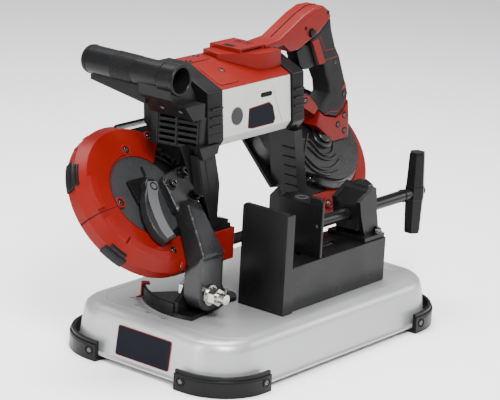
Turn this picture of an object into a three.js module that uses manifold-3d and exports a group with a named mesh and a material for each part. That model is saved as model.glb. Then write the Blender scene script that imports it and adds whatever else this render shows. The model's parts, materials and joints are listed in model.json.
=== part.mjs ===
// A cordless metal-cutting band saw on its bench stand: a pressed steel base with a vise, a swivel that
// turns for mitre cuts, and a tilting arm that carries the saw. Millimetres, +Z up.
//
// Two frames are used. The world frame has X along the base and the blade, Y away from the operator.
// The wheel frame lies in the plane of the two band wheels: u along the blade, v towards the top run of
// the blade, w out of the wheel plane towards the operator. The wheel plane leans back by WHEEL_LEAN.
import * as THREE from "three";
import Module from "manifold-3d";

const wasm = await Module();
wasm.setup();

// ---------------------------------------------------------------- driving dimensions
const GAP = 0.3;
const BASE_LENGTH = 420;
const BASE_WIDTH = 262;
const BASE_CORNER = 60;
const BASE_LIFT = 6;
const BASE_TOP = 58;
const SHEET = 2.5;

const WHEEL_LEAN = THREE.MathUtils.degToRad(41);
const BLADE_Y = 8;
const BLADE_Z = 123;
const BLADE_WIDTH = 13;
const BLADE_THICKNESS = 0.6;
const WHEEL_RADIUS = 80.5;
const LOOP_RADIUS = WHEEL_RADIUS + GAP + BLADE_THICKNESS / 2;
const WHEEL_V = LOOP_RADIUS;
const IDLER_U = -153;
const DRIVE_U = 162;
const WHEEL_WIDTH = 14;
const PLATE_BACK = 8.6;
const PLATE_FRONT = 12.6;

const SWIVEL = { x: -70, y: 0 };
const PIVOT = { x: -133.5, z: 86.5 };
const ARM_NEAR_Y = -37;
const ARM_FAR_Y = -12;

const VISE = { near: -88, far: -25, left: -60, right: 132, top: 112 };
const JAW_TOP = 180;
const JAW_X = 2;
const JAW_DEPTH = 28;
const JAW_BOLT_X = JAW_X + 13;
const SCREW = { y: -56.5, z: 142, thread: 7.2, sleeve: 7.5, collar: 8.8, stub: 6.2, end: 246 };

const MOTOR = { left: -86, right: 40, y: 45, z: 288 };
const MOTOR_SECTION = [
  [0, 310], [-5, 255], [2, 244], [70, 244], [88, 262], [91, 310], [77, 331], [48, 331],
];
const MOTOR_SPLIT_Z = 309.6;
const BEZEL_GROWTH = 1.06;
const HANDLE_Y = [30, 60];

const GEAR_MODULE = 2;
const BEVEL_SHAFT = { u: 91.4, v: 149 };
const MID_SHAFT = { u: 99.7, v: 95.7 };
const TEETH = { cross: 16, midLarge: 38, midSmall: 14, drive: 50 };

// ---------------------------------------------------------------- materials
function paint(red, green, blue, roughness, metalness) {
  const colour = new THREE.Color().setRGB(red, green, blue);
  return new THREE.MeshStandardMaterial({ color: colour, roughness, metalness });
}

const finishes = {
  basePaint: () => paint(0.55, 0.56, 0.56, 0.45, 0.35),
  red: () => paint(0.5, 0.035, 0.02, 0.45, 0),
  black: () => paint(0.02, 0.02, 0.022, 0.5, 0),
  blackSteel: () => paint(0.025, 0.025, 0.027, 0.4, 0.5),
  casting: () => paint(0.09, 0.09, 0.095, 0.5, 0.5),
  white: () => paint(0.7, 0.7, 0.68, 0.45, 0),
  grip: () => paint(0.04, 0.04, 0.042, 0.7, 0),
  zinc: () => paint(0.6, 0.6, 0.58, 0.3, 0.9),
  steel: () => paint(0.4, 0.4, 0.4, 0.35, 0.9),
  aluminium: () => paint(0.6, 0.6, 0.6, 0.4, 0.8),
  tyre: () => paint(0.03, 0.03, 0.03, 0.8, 0),
};

// ---------------------------------------------------------------- solid helpers
function signedVolume(geometry) {
  const place = geometry.attributes.position;
  const index = geometry.index.array;
  const a = new THREE.Vector3();
  const b = new THREE.Vector3();
  const c = new THREE.Vector3();
  let volume = 0;
  for (let i = 0; i < index.length; i += 3) {
    a.fromBufferAttribute(place, index[i]);
    b.fromBufferAttribute(place, index[i + 1]);
    c.fromBufferAttribute(place, index[i + 2]);
    volume += a.dot(b.cross(c));
  }
  return volume / 6;
}

function facingOut(geometry) {
  if (signedVolume(geometry) < 0) {
    const index = geometry.index.array;
    for (let i = 0; i < index.length; i += 3) {
      [index[i], index[i + 1]] = [index[i + 1], index[i]];
    }
  }
  return geometry;
}

// A closed skin over a stack of rings that all have the same number of points. The two ends are
// closed by the triangles of `section`, the flat outline that the rings follow.
function skin(rings, section, looped = false) {
  const count = rings[0].length;
  const places = rings.flat().flatMap((point) => [point.x, point.y, point.z]);
  const index = [];
  const last = looped ? rings.length : rings.length - 1;
  for (let k = 0; k < last; k += 1) {
    const here = k * count;
    const next = ((k + 1) % rings.length) * count;
    for (let i = 0; i < count; i += 1) {
      const j = (i + 1) % count;
      index.push(here + i, here + j, next + j, here + i, next + j, next + i);
    }
  }
  if (!looped) {
    const top = (rings.length - 1) * count;
    const clockwise = THREE.ShapeUtils.isClockWise(section);
    for (const face of THREE.ShapeUtils.triangulateShape(section, [])) {
      const [a, b, c] = clockwise ? [...face].reverse() : face;
      index.push(c, b, a, top + a, top + b, top + c);
    }
  }
  const geometry = new THREE.BufferGeometry();
  geometry.setAttribute("position", new THREE.Float32BufferAttribute(places, 3));
  geometry.setIndex(index);
  return facingOut(geometry);
}

function welded(geometry) {
  const source = geometry.index ? geometry.toNonIndexed() : geometry;
  const place = source.attributes.position;
  const seen = new Map();
  const places = [];
  const index = [];
  for (let i = 0; i < place.count; i += 1) {
    const point = [place.getX(i), place.getY(i), place.getZ(i)];
    const key = point.map((value) => Math.round(value * 1e4)).join(",");
    if (!seen.has(key)) {
      seen.set(key, places.length / 3);
      places.push(...point);
    }
    index.push(seen.get(key));
  }
  const kept = [];
  for (let i = 0; i < index.length; i += 3) {
    const [a, b, c] = index.slice(i, i + 3);
    if (a !== b && b !== c && c !== a) {
      kept.push(a, b, c);
    }
  }
  const result = new THREE.BufferGeometry();
  result.setAttribute("position", new THREE.Float32BufferAttribute(places, 3));
  result.setIndex(kept);
  return result;
}

function toManifold(geometry) {
  const clean = welded(geometry);
  return new wasm.Manifold(new wasm.Mesh({
    numProp: 3,
    vertProperties: new Float32Array(clean.attributes.position.array),
    triVerts: new Uint32Array(clean.index.array),
  }));
}

function fromManifold(solid) {
  const result = solid.getMesh();
  const geometry = new THREE.BufferGeometry();
  geometry.setAttribute("position", new THREE.Float32BufferAttribute(result.vertProperties, 3));
  geometry.setIndex(Array.from(result.triVerts));
  return geometry;
}

function join(...geometries) {
  const solids = geometries.map(toManifold);
  return fromManifold(solids.slice(1).reduce((whole, piece) => whole.add(piece), solids[0]));
}

function cut(body, ...tools) {
  return fromManifold(tools.map(toManifold).reduce((whole, tool) => whole.subtract(tool), toManifold(body)));
}

function common(a, b) {
  return fromManifold(toManifold(a).intersect(toManifold(b)));
}

function box(x0, x1, y0, y1, z0, z1) {
  const geometry = new THREE.BoxGeometry(x1 - x0, y1 - y0, z1 - z0);
  return geometry.translate((x0 + x1) / 2, (y0 + y1) / 2, (z0 + z1) / 2);
}

const AXIS_TURN = {
  x: (geometry) => geometry.rotateZ(-Math.PI / 2),
  y: (geometry) => geometry,
  z: (geometry) => geometry.rotateX(Math.PI / 2),
};

// A round bar along one axis, from `from` to `to`, through the point (p, q) of the other two axes.
function rod(axis, radius, from, to, p, q, sides = 24) {
  const geometry = new THREE.CylinderGeometry(radius, radius, to - from, sides);
  AXIS_TURN[axis](geometry);
  const middle = (from + to) / 2;
  const centre = { x: [middle, p, q], y: [p, middle, q], z: [p, q, middle] }[axis];
  return geometry.translate(...centre);
}

// A solid of revolution about the local z axis: each profile point is (radius, height).
function turned(profile, sides = 48) {
  const points = profile.map(([radius, height]) => new THREE.Vector2(radius, height));
  const geometry = new THREE.LatheGeometry(points, sides).rotateX(Math.PI / 2);
  return facingOut(welded(geometry));
}

function outline(points) {
  return new THREE.Shape(points.map(([x, y]) => new THREE.Vector2(x, y)));
}

function prism(shape, from, to, curveSegments = 16) {
  const depth = to - from;
  const geometry = new THREE.ExtrudeGeometry(shape, { depth, bevelEnabled: false, curveSegments });
  return geometry.translate(0, 0, from);
}

// A prism whose outline is drawn in (y, z), or in (v, w), and which runs along x, or along u.
function prismX(shape, from, to) {
  const geometry = prism(shape, from, to);
  return geometry.applyMatrix4(new THREE.Matrix4().set(0, 0, 1, 0, 1, 0, 0, 0, 0, 1, 0, 0, 0, 0, 0, 1));
}

// A prism whose outline is drawn in (x, z) and which runs along y.
function prismY(shape, from, to) {
  const geometry = prism(shape, 0, to - from);
  return geometry.rotateX(Math.PI / 2).translate(0, to, 0);
}

function roundedPrismY(shape, from, to, bevel) {
  const geometry = new THREE.ExtrudeGeometry(shape, {
    depth: to - from - 2 * bevel,
    bevelThickness: bevel,
    bevelSize: bevel,
    bevelOffset: -bevel,
    bevelSegments: 2,
    curveSegments: 6,
  });
  return geometry.rotateX(Math.PI / 2).translate(0, to - bevel, 0);
}

function circlePoint(u, v, radius, degrees) {
  const angle = THREE.MathUtils.degToRad(degrees);
  return [u + radius * Math.cos(angle), v + radius * Math.sin(angle)];
}

// A section of (radius, w) points carried round an arc in the wheel plane.
function arcSweep(section, u, v, from, to, steps) {
  const flat = section.map(([radius, w]) => new THREE.Vector2(radius, w));
  const rings = [];
  for (let k = 0; k <= steps; k += 1) {
    const degrees = from + ((to - from) * k) / steps;
    rings.push(section.map(([radius, w]) => new THREE.Vector3(...circlePoint(u, v, radius, degrees), w)));
  }
  return skin(rings, flat);
}

function inWheelFrame(geometry) {
  return geometry.clone().rotateX(Math.PI / 2 - WHEEL_LEAN).translate(0, BLADE_Y, BLADE_Z);
}

function toWheelFrame(geometry) {
  return geometry.clone().translate(0, -BLADE_Y, -BLADE_Z).rotateX(WHEEL_LEAN - Math.PI / 2);
}

// ---------------------------------------------------------------- scene graph
const saw = new THREE.Group();
const wheelFrame = new THREE.Group();
wheelFrame.rotation.x = Math.PI / 2 - WHEEL_LEAN;
wheelFrame.position.set(0, BLADE_Y, BLADE_Z);
saw.add(wheelFrame);

function place(parent, name, geometry, finish) {
  const clean = welded(geometry);
  clean.computeVertexNormals();
  const mesh = new THREE.Mesh(clean, finishes[finish]());
  mesh.name = name;
  parent.add(mesh);
}

// ---------------------------------------------------------------- base
const CORNERS = [[1, 1], [-1, 1], [-1, -1], [1, -1]];

function baseOutline(inset, cornerSteps = 8) {
  const radius = BASE_CORNER - inset;
  const reachX = BASE_LENGTH / 2 - BASE_CORNER;
  const reachY = BASE_WIDTH / 2 - BASE_CORNER;
  return CORNERS.flatMap(([sx, sy], quarter) => Array.from({ length: cornerSteps + 1 }, (_, k) => (
    circlePoint(sx * reachX, sy * reachY, radius, 90 * quarter + (90 * k) / cornerSteps)
  )));
}

function baseTray() {
  const outside = [[24, BASE_TOP], [17, 57], [12, 53], [9.5, 46], [4.5, 9.5], [0, 8.5], [0, BASE_LIFT]];
  const inside = outside.slice(0, 5).map(([inset, z]) => [inset + SHEET, z - SHEET]).reverse();
  const walls = [...outside, [4.5 + SHEET, BASE_LIFT], ...inside];
  const rings = walls.map(([inset, z]) => baseOutline(inset).map(([x, y]) => new THREE.Vector3(x, y, z)));
  const flat = baseOutline(0).map(([x, y]) => new THREE.Vector2(x, y));
  const shell = skin(rings, flat);
  const swivelHole = rod("z", 7, 40, 70, SWIVEL.x, SWIVEL.y);
  return cut(shell, swivelHole);
}

const FOOT = { height: 24, skin: 6, leg: 12, pad: 5.5, padReach: 22 };

// The plan of one corner piece: the rounded corner and a short leg along each side.
function cornerBand(inner, outer) {
  const reachX = BASE_LENGTH / 2 - BASE_CORNER;
  const reachY = BASE_WIDTH / 2 - BASE_CORNER;
  const steps = 10;
  const arc = (radius) => Array.from({ length: steps + 1 }, (_, k) => (
    circlePoint(reachX, reachY, radius, (90 * k) / steps)
  ));
  const outside = arc(BASE_CORNER + outer);
  const inside = arc(BASE_CORNER + inner).reverse();
  return [
    [reachX + BASE_CORNER + outer, reachY - FOOT.leg], ...outside,
    [reachX - FOOT.leg, reachY + BASE_CORNER + outer], [reachX - FOOT.leg, reachY + BASE_CORNER + inner],
    ...inside, [reachX + BASE_CORNER + inner, reachY - FOOT.leg],
  ];
}

function foot(sx, sy) {
  const wall = prism(outline(cornerBand(GAP, FOOT.skin)), 0, FOOT.height - 4);
  const lip = prism(outline(cornerBand(GAP, FOOT.skin - 2)), FOOT.height - 5, FOOT.height);
  const pad = prism(outline(cornerBand(-FOOT.padReach, FOOT.skin)), 0, FOOT.pad);
  const geometry = join(wall, lip, pad);
  const mirrored = geometry.applyMatrix4(new THREE.Matrix4().makeScale(sx, sy, 1));
  return facingOut(mirrored);
}

place(saw, "base_tray", baseTray(), "basePaint");
const FOOT_NAMES = ["foot_right_far", "foot_left_far", "foot_left_near", "foot_right_near"];
CORNERS.forEach(([sx, sy], i) => place(saw, FOOT_NAMES[i], foot(sx, sy), "black"));

// ---------------------------------------------------------------- vise
const CHANNEL_WALL = 4;
const SLOT = { from: -52, to: 72, y: SCREW.y, half: 4.4 };

function viseChannel() {
  const bottom = BASE_TOP + GAP;
  const block = box(VISE.left, VISE.right, VISE.near, VISE.far, bottom, VISE.top);
  const hollow = box(VISE.left - 1, VISE.right + 1, VISE.near + CHANNEL_WALL, VISE.far - CHANNEL_WALL,
    bottom - 1, VISE.top - CHANNEL_WALL);
  const slot = box(SLOT.from, SLOT.to, SLOT.y - SLOT.half, SLOT.y + SLOT.half, VISE.top - 6, VISE.top + 1);
  return cut(block, hollow, slot);
}

function fixedJaw() {
  const thickness = 6;
  const face = VISE.left - GAP;
  const back = face - thickness;
  const low = BASE_TOP + GAP;
  const corner = outline([[VISE.near - 3, low], [VISE.far, low], [VISE.far, JAW_TOP - 3],
    [VISE.far - 3, JAW_TOP], [VISE.near, JAW_TOP], [VISE.near - 3, JAW_TOP - 3]]);
  const plate = prismX(corner, back, face);
  const flange = box(back, face + 12, VISE.near - 3, VISE.near - GAP, low, VISE.top);
  const upperFlange = box(back, face + 8, VISE.near - 3, VISE.near, VISE.top - 1, JAW_TOP - 3);
  return join(plate, flange, upperFlange);
}

// A sheet steel jaw: its face, a top folded back over the screw, and two ears beside the fold.
function movableJaw() {
  const sheet = 4;
  const low = VISE.top + GAP;
  const left = VISE.near;
  const right = -9;
  const [foldLeft, foldRight] = [-68, -24];
  const back = JAW_X + JAW_DEPTH;
  const top = JAW_TOP - 5;
  const earHeight = JAW_TOP + 3;
  const face = outline([[left, low], [right, low], [right, 172], [foldRight + 5, earHeight],
    [foldRight, earHeight], [foldRight, top], [foldLeft, top], [foldLeft, earHeight], [left + 3, earHeight],
    [left, earHeight - 3]]);
  const plate = prismX(face, JAW_X, JAW_X + sheet);
  const fold = box(JAW_X, back, foldLeft, foldRight, top - sheet, top);
  const web = box(back - sheet, back, foldLeft, foldRight, low, top);
  const shoe = box(JAW_X, back, foldLeft - 2, foldRight - 3, low, low + sheet);
  const screwHole = rod("x", SCREW.collar + 0.5, back - 10, back + 10, SCREW.y, SCREW.z);
  const plugHole = rod("x", 2.6, JAW_X - 1, JAW_X + 10, -82, 150);
  const boltHole = rod("z", 4.2, 100, 130, JAW_BOLT_X, SCREW.y);
  return cut(join(plate, fold, web, shoe), screwHole, plugHole, boltHole);
}

// The bolt that keeps the jaw on the channel: its shank runs in the slot.
function jawBolt() {
  const shank = rod("z", 3.9, 100, VISE.top + 12, JAW_BOLT_X, SCREW.y);
  const head = rod("z", 7, VISE.top + 4.9, VISE.top + 11, JAW_BOLT_X, SCREW.y, 6);
  const washer = rod("z", 9, 102, VISE.top - CHANNEL_WALL - GAP, JAW_BOLT_X, SCREW.y);
  return join(shank, head, washer);
}

const TEE = { x: 231, half: 51.5, hub: 12.2, tip: 9.8 };

function viseScrew() {
  const back = JAW_X + JAW_DEPTH;
  const sleeve = rod("x", SCREW.sleeve, back + 2, 84, SCREW.y, SCREW.z);
  const thread = rod("x", SCREW.thread, JAW_X + 8, TEE.x - 17, SCREW.y, SCREW.z);
  const stub = rod("x", SCREW.stub, TEE.x - 18, SCREW.end, SCREW.y, SCREW.z);
  const collar = rod("x", SCREW.collar, back - 8, back + 3, SCREW.y, SCREW.z);
  return join(sleeve, thread, stub, collar);
}

function viseHandle() {
  const hexagon = (radius, z) => Array.from({ length: 6 }, (_, k) => (
    new THREE.Vector3(...circlePoint(TEE.x, SCREW.y, radius, 60 * k + 30), z)
  ));
  const levels = [[TEE.tip, -TEE.half], [TEE.tip + 0.8, -TEE.half + 3], [TEE.hub, -9], [TEE.hub + 0.8, -8],
    [TEE.hub + 0.8, 8], [TEE.hub, 9], [TEE.tip + 0.8, TEE.half - 3], [TEE.tip, TEE.half]];
  const rings = levels.map(([radius, z]) => hexagon(radius, SCREW.z + z));
  const flat = rings[0].map((point) => new THREE.Vector2(point.x, point.y));
  return cut(skin(rings, flat), rod("x", SCREW.stub + 0.4, TEE.x - 20, TEE.x + 20, SCREW.y, SCREW.z));
}

const NUT = { left: 92, right: 131, near: -86, far: -30, foot: 5 };

// The cast bracket at the end of the channel: foot flange, upright wall, two side ribs and the nut block.
function nutBracket() {
  const low = VISE.top + GAP;
  const flange = box(NUT.left, NUT.right, NUT.near, NUT.far, low, low + NUT.foot);
  const wallShape = outline([[-78, low], [-36, low], [-36, 160], [-41, 172], [-50, 178], [-61, 180],
    [-70, 176], [-78, 164]]);
  const wall = prismX(wallShape, 113, 122);
  const block = prismY(outline([[92, 124], [92, 155], [104, 171], [114, 174], [114, 124]]), -73, -42);
  const rib = outline([[103, low], [131, low], [123, 147], [119.5, 173], [115, 175.5], [88.5, 160.5],
    [92.1, 143]]);
  const bore = rod("x", SCREW.sleeve + 0.4, 80, 140, SCREW.y, SCREW.z);
  return cut(join(flange, wall, block, prismY(rib, -78, -72), prismY(rib, -42.5, -36)), bore);
}

place(saw, "vise_channel", viseChannel(), "blackSteel");
place(saw, "fixed_jaw", fixedJaw(), "blackSteel");
place(saw, "movable_jaw", movableJaw(), "blackSteel");
place(saw, "jaw_bolt", jawBolt(), "zinc");
place(saw, "vise_screw", viseScrew(), "blackSteel");
place(saw, "vise_handle", viseHandle(), "blackSteel");
place(saw, "nut_bracket", nutBracket(), "blackSteel");

// ---------------------------------------------------------------- swivel and tilt pivot
const RIM = { radius: 90, thickness: 3, from: 133, to: 184, plateEnd: 200, top: 75 };
const SWIVEL_FLOOR = BASE_TOP + GAP;
const SWIVEL_PLATE = 4.7;
const KNOB = { x: -100.5, z: 80, radius: 8 };

function swivelPlate() {
  const around = (radius, from, to, steps) => Array.from({ length: steps + 1 }, (_, k) => (
    circlePoint(SWIVEL.x, SWIVEL.y, radius, from + ((to - from) * k) / steps)
  ));
  const sector = outline([...around(RIM.radius, RIM.from, RIM.plateEnd, 16), [-100, -24],
    [SWIVEL.x - 10, SWIVEL.y - 17], ...around(20, -70, 90, 8)]);
  const plate = prism(sector, SWIVEL_FLOOR, SWIVEL_FLOOR + SWIVEL_PLATE);
  const section = [[RIM.radius - RIM.thickness, SWIVEL_FLOOR + 1], [RIM.radius, SWIVEL_FLOOR + 1],
    [RIM.radius, RIM.top - 1.5], [RIM.radius - 1.5, RIM.top], [RIM.radius - RIM.thickness, RIM.top]];
  const rim = arcSweep(section, SWIVEL.x, SWIVEL.y, RIM.from, RIM.to, 12);
  const lug = outline([[-158, 60], [-92, 60], [-92, 84], [-98, 91], [-112, 91], [-121, 92], ...[60, 90, 120]
    .map((degrees) => circlePoint(PIVOT.x, PIVOT.z, 13, degrees)), [-147, 84], [-158, 76]]);
  const wall = prismY(lug, ARM_FAR_Y + 0.5, ARM_FAR_Y + 6.5);
  const pivotHole = rod("y", 6.3, -30, 10, PIVOT.x, PIVOT.z);
  const knobHole = rod("y", 4.3, -30, 10, KNOB.x, KNOB.z);
  const postHole = rod("z", 7, 40, 80, SWIVEL.x, SWIVEL.y);
  return cut(join(plate, rim, wall), pivotHole, knobHole, postHole);
}

function swivelPost() {
  const shank = rod("z", 6.7, 47, SWIVEL_FLOOR + SWIVEL_PLATE + 1, SWIVEL.x, SWIVEL.y);
  const head = rod("z", 11, SWIVEL_FLOOR + SWIVEL_PLATE + GAP, 69, SWIVEL.x, SWIVEL.y, 6);
  const nut = rod("z", 11, 46, BASE_TOP - SHEET - GAP, SWIVEL.x, SWIVEL.y, 6);
  return join(shank, head, nut);
}

// The clip-on pointer that reads the mitre scale printed on the base.
function swivelPointer() {
  const at = 137;
  const outer = RIM.radius + GAP;
  const hook = [[outer, 60.5], [outer + 1.8, 60.5], [outer + 1.8, RIM.top + 3], [RIM.radius - 8, RIM.top + 3],
    [RIM.radius - 8, RIM.top + GAP], [outer, RIM.top + GAP]];
  const clip = arcSweep(hook, SWIVEL.x, SWIVEL.y, at - 2.5, at + 2.5, 2);
  const tip = [[outer + 1, 59.2], [outer + 8, 59.2], [outer + 1, 62]];
  const toe = arcSweep(tip, SWIVEL.x, SWIVEL.y, at - 1, at + 1, 1);
  return join(clip, toe);
}

function pivotBolt() {
  const shank = rod("y", 6, ARM_NEAR_Y - 25, ARM_FAR_Y + 10, PIVOT.x, PIVOT.z);
  const washer = rod("y", 12, ARM_NEAR_Y - 2.8, ARM_NEAR_Y - GAP, PIVOT.x, PIVOT.z);
  const lockWasher = rod("y", 10, ARM_NEAR_Y - 5, ARM_NEAR_Y - 2.7, PIVOT.x, PIVOT.z);
  const nut = rod("y", 10.4, ARM_NEAR_Y - 14, ARM_NEAR_Y - 4.9, PIVOT.x, PIVOT.z, 6);
  const head = rod("y", 10.4, ARM_FAR_Y + 6.8, ARM_FAR_Y + 13, PIVOT.x, PIVOT.z, 6);
  return join(shank, washer, lockWasher, nut, head);
}

function lockKnob() {
  const lobes = new THREE.Shape();
  const steps = 48;
  for (let k = 0; k < steps; k += 1) {
    const angle = (2 * Math.PI * k) / steps;
    const radius = KNOB.radius - 1.2 + 1.2 * Math.cos(5 * angle);
    const point = [KNOB.x + radius * Math.cos(angle), KNOB.z + radius * Math.sin(angle)];
    lobes[k === 0 ? "moveTo" : "lineTo"](...point);
  }
  const head = prismY(lobes, ARM_FAR_Y - 14, ARM_FAR_Y - 4);
  const neck = rod("y", 5.5, ARM_FAR_Y - 5, ARM_FAR_Y + 0.2, KNOB.x, KNOB.z);
  const stud = rod("y", 4, ARM_FAR_Y - 1, ARM_FAR_Y + 12, KNOB.x, KNOB.z);
  return join(head, neck, stud);
}

place(saw, "swivel_bracket", swivelPlate(), "blackSteel");
place(saw, "swivel_post", swivelPost(), "zinc");
place(saw, "swivel_pointer", swivelPointer(), "red");
place(saw, "pivot_bolt", pivotBolt(), "zinc");
place(saw, "lock_knob", lockKnob(), "black");

// ---------------------------------------------------------------- tilting arm
const ARM = { base: PLATE_FRONT + 0.6, deck: 24, crest: 42.5 };
const ARM_BOLTS = [[-92, 86], [-119, 76], [-91, 57]];

function frustum(lower, upper, z0, z1) {
  const ring = (points, z) => points.map(([x, y]) => new THREE.Vector3(x, y, z));
  return skin([ring(lower, z0), ring(upper, z1)], lower.map(([x, y]) => new THREE.Vector2(x, y)));
}

function tiltArm() {
  const deckShape = outline([[-130, 44], [-126, 85], [-119, 91], [-88, 96], [-80, 91], [-80, 56],
    [-99, 40]]);
  const deck = inWheelFrame(prism(deckShape, ARM.base, ARM.deck));
  const neckFoot = [[-151, -24], [-104, -24], [-99, 58], [-119, 60]];
  const neckCrest = [[-149, -24], [-112, -24], [-109, 43], [-130, 43]];
  const neck = inWheelFrame(frustum(neckFoot, neckCrest, ARM.base, ARM.crest));
  const side = prismX(outline([[ARM_NEAR_Y, 134], [-15.6, 115.4], [ARM_FAR_Y, 108], [ARM_FAR_Y, 64],
    [ARM_NEAR_Y, 64]]), -151, -110);
  const front = new THREE.Shape();
  front.moveTo(-110, 140);
  front.lineTo(-151, 140);
  front.lineTo(-151, 87);
  front.absarc(-130.5, 87, 20.5, Math.PI, 2 * Math.PI);
  const leg = common(side, prismY(front, -60, 0));
  const pivotHole = rod("y", 6.3, -60, 0, PIVOT.x, PIVOT.z);
  return cut(join(deck, neck, leg), pivotHole);
}

function armBolt(u, v) {
  const head = rod("z", 5, ARM.deck + GAP, ARM.deck + 7.5, u, v, 20);
  const socket = rod("z", 2.5, ARM.deck + 4, ARM.deck + 9, u, v, 6);
  return cut(head, socket);
}

place(saw, "tilt_arm", tiltArm(), "casting");
ARM_BOLTS.forEach(([u, v], i) => place(wheelFrame, `arm_bolt_${i + 1}`, armBolt(u, v), "zinc"));

// ---------------------------------------------------------------- saw frame
const AXLE_RADIUS = 7.8;
const TENSION_TRAVEL = 3.5;

function framePlate() {
  const reach = 76;
  const floor = 20;
  const low = Math.asin((WHEEL_V - floor) / reach);
  const foot = reach * Math.cos(low);
  const shape = new THREE.Shape();
  shape.moveTo(-101, floor);
  shape.lineTo(IDLER_U - foot, floor);
  shape.absarc(IDLER_U, WHEEL_V, reach, low - Math.PI, Math.PI / 2, true);
  shape.lineTo(DRIVE_U, WHEEL_V + reach);
  shape.absarc(DRIVE_U, WHEEL_V, reach, Math.PI / 2, -low, true);
  const throat = [[101, floor], [101, 38], [52, 44], [48, 112], [40, 120], [-56, 120], [-64, 110], [-66, 60],
    [-101, 38]];
  throat.forEach(([u, v]) => shape.lineTo(u, v));
  const plate = prism(shape, PLATE_BACK, PLATE_FRONT, 20);
  const slot = box(IDLER_U - AXLE_RADIUS - 0.6, IDLER_U + AXLE_RADIUS + TENSION_TRAVEL + 0.6,
    WHEEL_V - AXLE_RADIUS - 0.6, WHEEL_V + AXLE_RADIUS + 0.6, 0, 20);
  const shaftHole = rod("z", AXLE_RADIUS + 0.5, 0, 20, DRIVE_U, WHEEL_V);
  return cut(plate, slot, shaftHole);
}

const POST = { front: -6, back: 6, bottom: 150, top: 240.6 };

// The front upright: a leaning flange, and a sloping rib beside the arm that runs back over the frame plate.
function frontGuidePost() {
  const flange = outline([[-129, POST.top], [-98, POST.top], [-87, 202], [-88, 162], [-68, 156],
    [-68, POST.bottom], [-102.5, POST.bottom], [-102.5, 187], [-117, 193]]);
  const rib = outline([[POST.back - 1, POST.bottom], [12, POST.bottom], [18.5, 157], [62, 207], [62, 225],
    [POST.back - 1, 170]]);
  return join(prismY(flange, POST.front, POST.back), prismX(rib, -79.4, -75));
}

// The rear upright: a leaning flange, and a side wall that runs back to the frame plate.
function rearGuidePost() {
  const flange = outline([[46, POST.top], [60.5, POST.top], [81, POST.bottom], [62, POST.bottom]]);
  const side = outline([[46, POST.top], [50, POST.top], [66, POST.bottom], [62, POST.bottom]]);
  const behind = inWheelFrame(box(0, 200, -60, 300, -60, PLATE_FRONT + GAP));
  return join(prismY(flange, POST.front, POST.back), cut(prismY(side, POST.back - 1, 34), behind));
}

const FRONT_COVER = { left: -92, right: -58 };
const ROLLER = { z: 133.8, radius: 4, half: 4, pin: 1.3 };

function guideBlock(left, right, padAt, rollerAt) {
  const body = box(left, right, -3.5, 15, 138.2, 149.7);
  const cheeks = [-1, 1].map((side) => {
    const near = BLADE_Y + side * (ROLLER.half + GAP);
    const far = BLADE_Y + side * 7;
    return box(rollerAt - 4, rollerAt + 4, Math.min(near, far), Math.max(near, far), ROLLER.z - 3, 139);
  });
  const pin = rod("y", ROLLER.pin, BLADE_Y - 6, BLADE_Y + 6, rollerAt, ROLLER.z, 12);
  const pads = [-1, 1].map((side) => {
    const inner = BLADE_Y + side * 0.9;
    const outer = BLADE_Y + side * 7;
    return box(padAt - 5, padAt + 5, Math.min(inner, outer), Math.max(inner, outer), 116, 139);
  });
  return join(body, ...pads, ...cheeks, pin);
}

function guideRoller(x) {
  const drum = rod("y", ROLLER.radius, BLADE_Y - ROLLER.half, BLADE_Y + ROLLER.half, x, ROLLER.z, 20);
  return cut(drum, rod("y", ROLLER.pin + GAP, 0, 20, x, ROLLER.z, 12));
}

// The red box round the blade guide, open above and below, with a slot at each end for the blade.
function guideCover(left, right) {
  const wall = 2.5;
  const [near, far] = [-8, 19];
  const block = box(left, right, near, far, 107, 145);
  const room = box(left + wall, right - wall, near + wall, far - wall, 100, 150);
  const bladeSlot = box(left - 1, right + 1, 2, 14, 112, 136);
  return cut(block, room, bladeSlot);
}

// The roof over the top run of the blade, from the front guard round to the top of the drive wheel.
function spineCover() {
  const [inner, outer] = [84.5, 87.5];
  const left = -136;
  const fan = (radius, from, to) => Array.from({ length: 7 }, (_, k) => (
    circlePoint(DRIVE_U, WHEEL_V, radius, from + ((to - from) * k) / 6)
  ));
  const shape = outline([[left, WHEEL_V + outer], ...fan(outer, 90, 46), ...fan(inner, 46, 90),
    [left, WHEEL_V + inner]]);
  return prism(shape, -10, 8);
}

place(wheelFrame, "saw_frame", framePlate(), "casting");
place(saw, "front_guide_post", frontGuidePost(), "black");
place(saw, "rear_guide_post", rearGuidePost(), "black");
place(saw, "front_guide_block", guideBlock(-89, -61, -83, -69), "blackSteel");
place(saw, "rear_guide_block", guideBlock(52, 89, 75, 60), "blackSteel");
place(saw, "front_guide_roller", guideRoller(-69), "steel");
place(saw, "rear_guide_roller", guideRoller(60), "steel");
place(saw, "front_guide_cover", guideCover(FRONT_COVER.left, FRONT_COVER.right), "red");
place(saw, "rear_guide_cover", guideCover(48, 92), "red");
place(wheelFrame, "spine_cover", spineCover(), "black");

// ---------------------------------------------------------------- guards
const FRONT_GUARD = { u: IDLER_U, v: 75, radius: 94, inner: 50, from: 82, to: 270, steps: 32 };
const REAR_GUARD = { u: DRIVE_U, v: 79, radius: 90, inner: 64, from: -90, to: 40, steps: 22 };
const GUARD_BACK = -10;
const RING_FACE = 16;

function guard({ u, v, radius, inner, from, to, steps }) {
  const section = [
    [radius - 3, GUARD_BACK], [radius - 3, 4], [radius - 8, PLATE_FRONT + 0.4],
    [inner, PLATE_FRONT + 0.4], [inner, RING_FACE - 1], [inner + 1.5, RING_FACE],
    [radius - 10, RING_FACE], [radius, 5], [radius, GUARD_BACK + 2], [radius - 1, GUARD_BACK],
  ];
  return arcSweep(section, u, v, from, to, steps);
}

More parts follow.
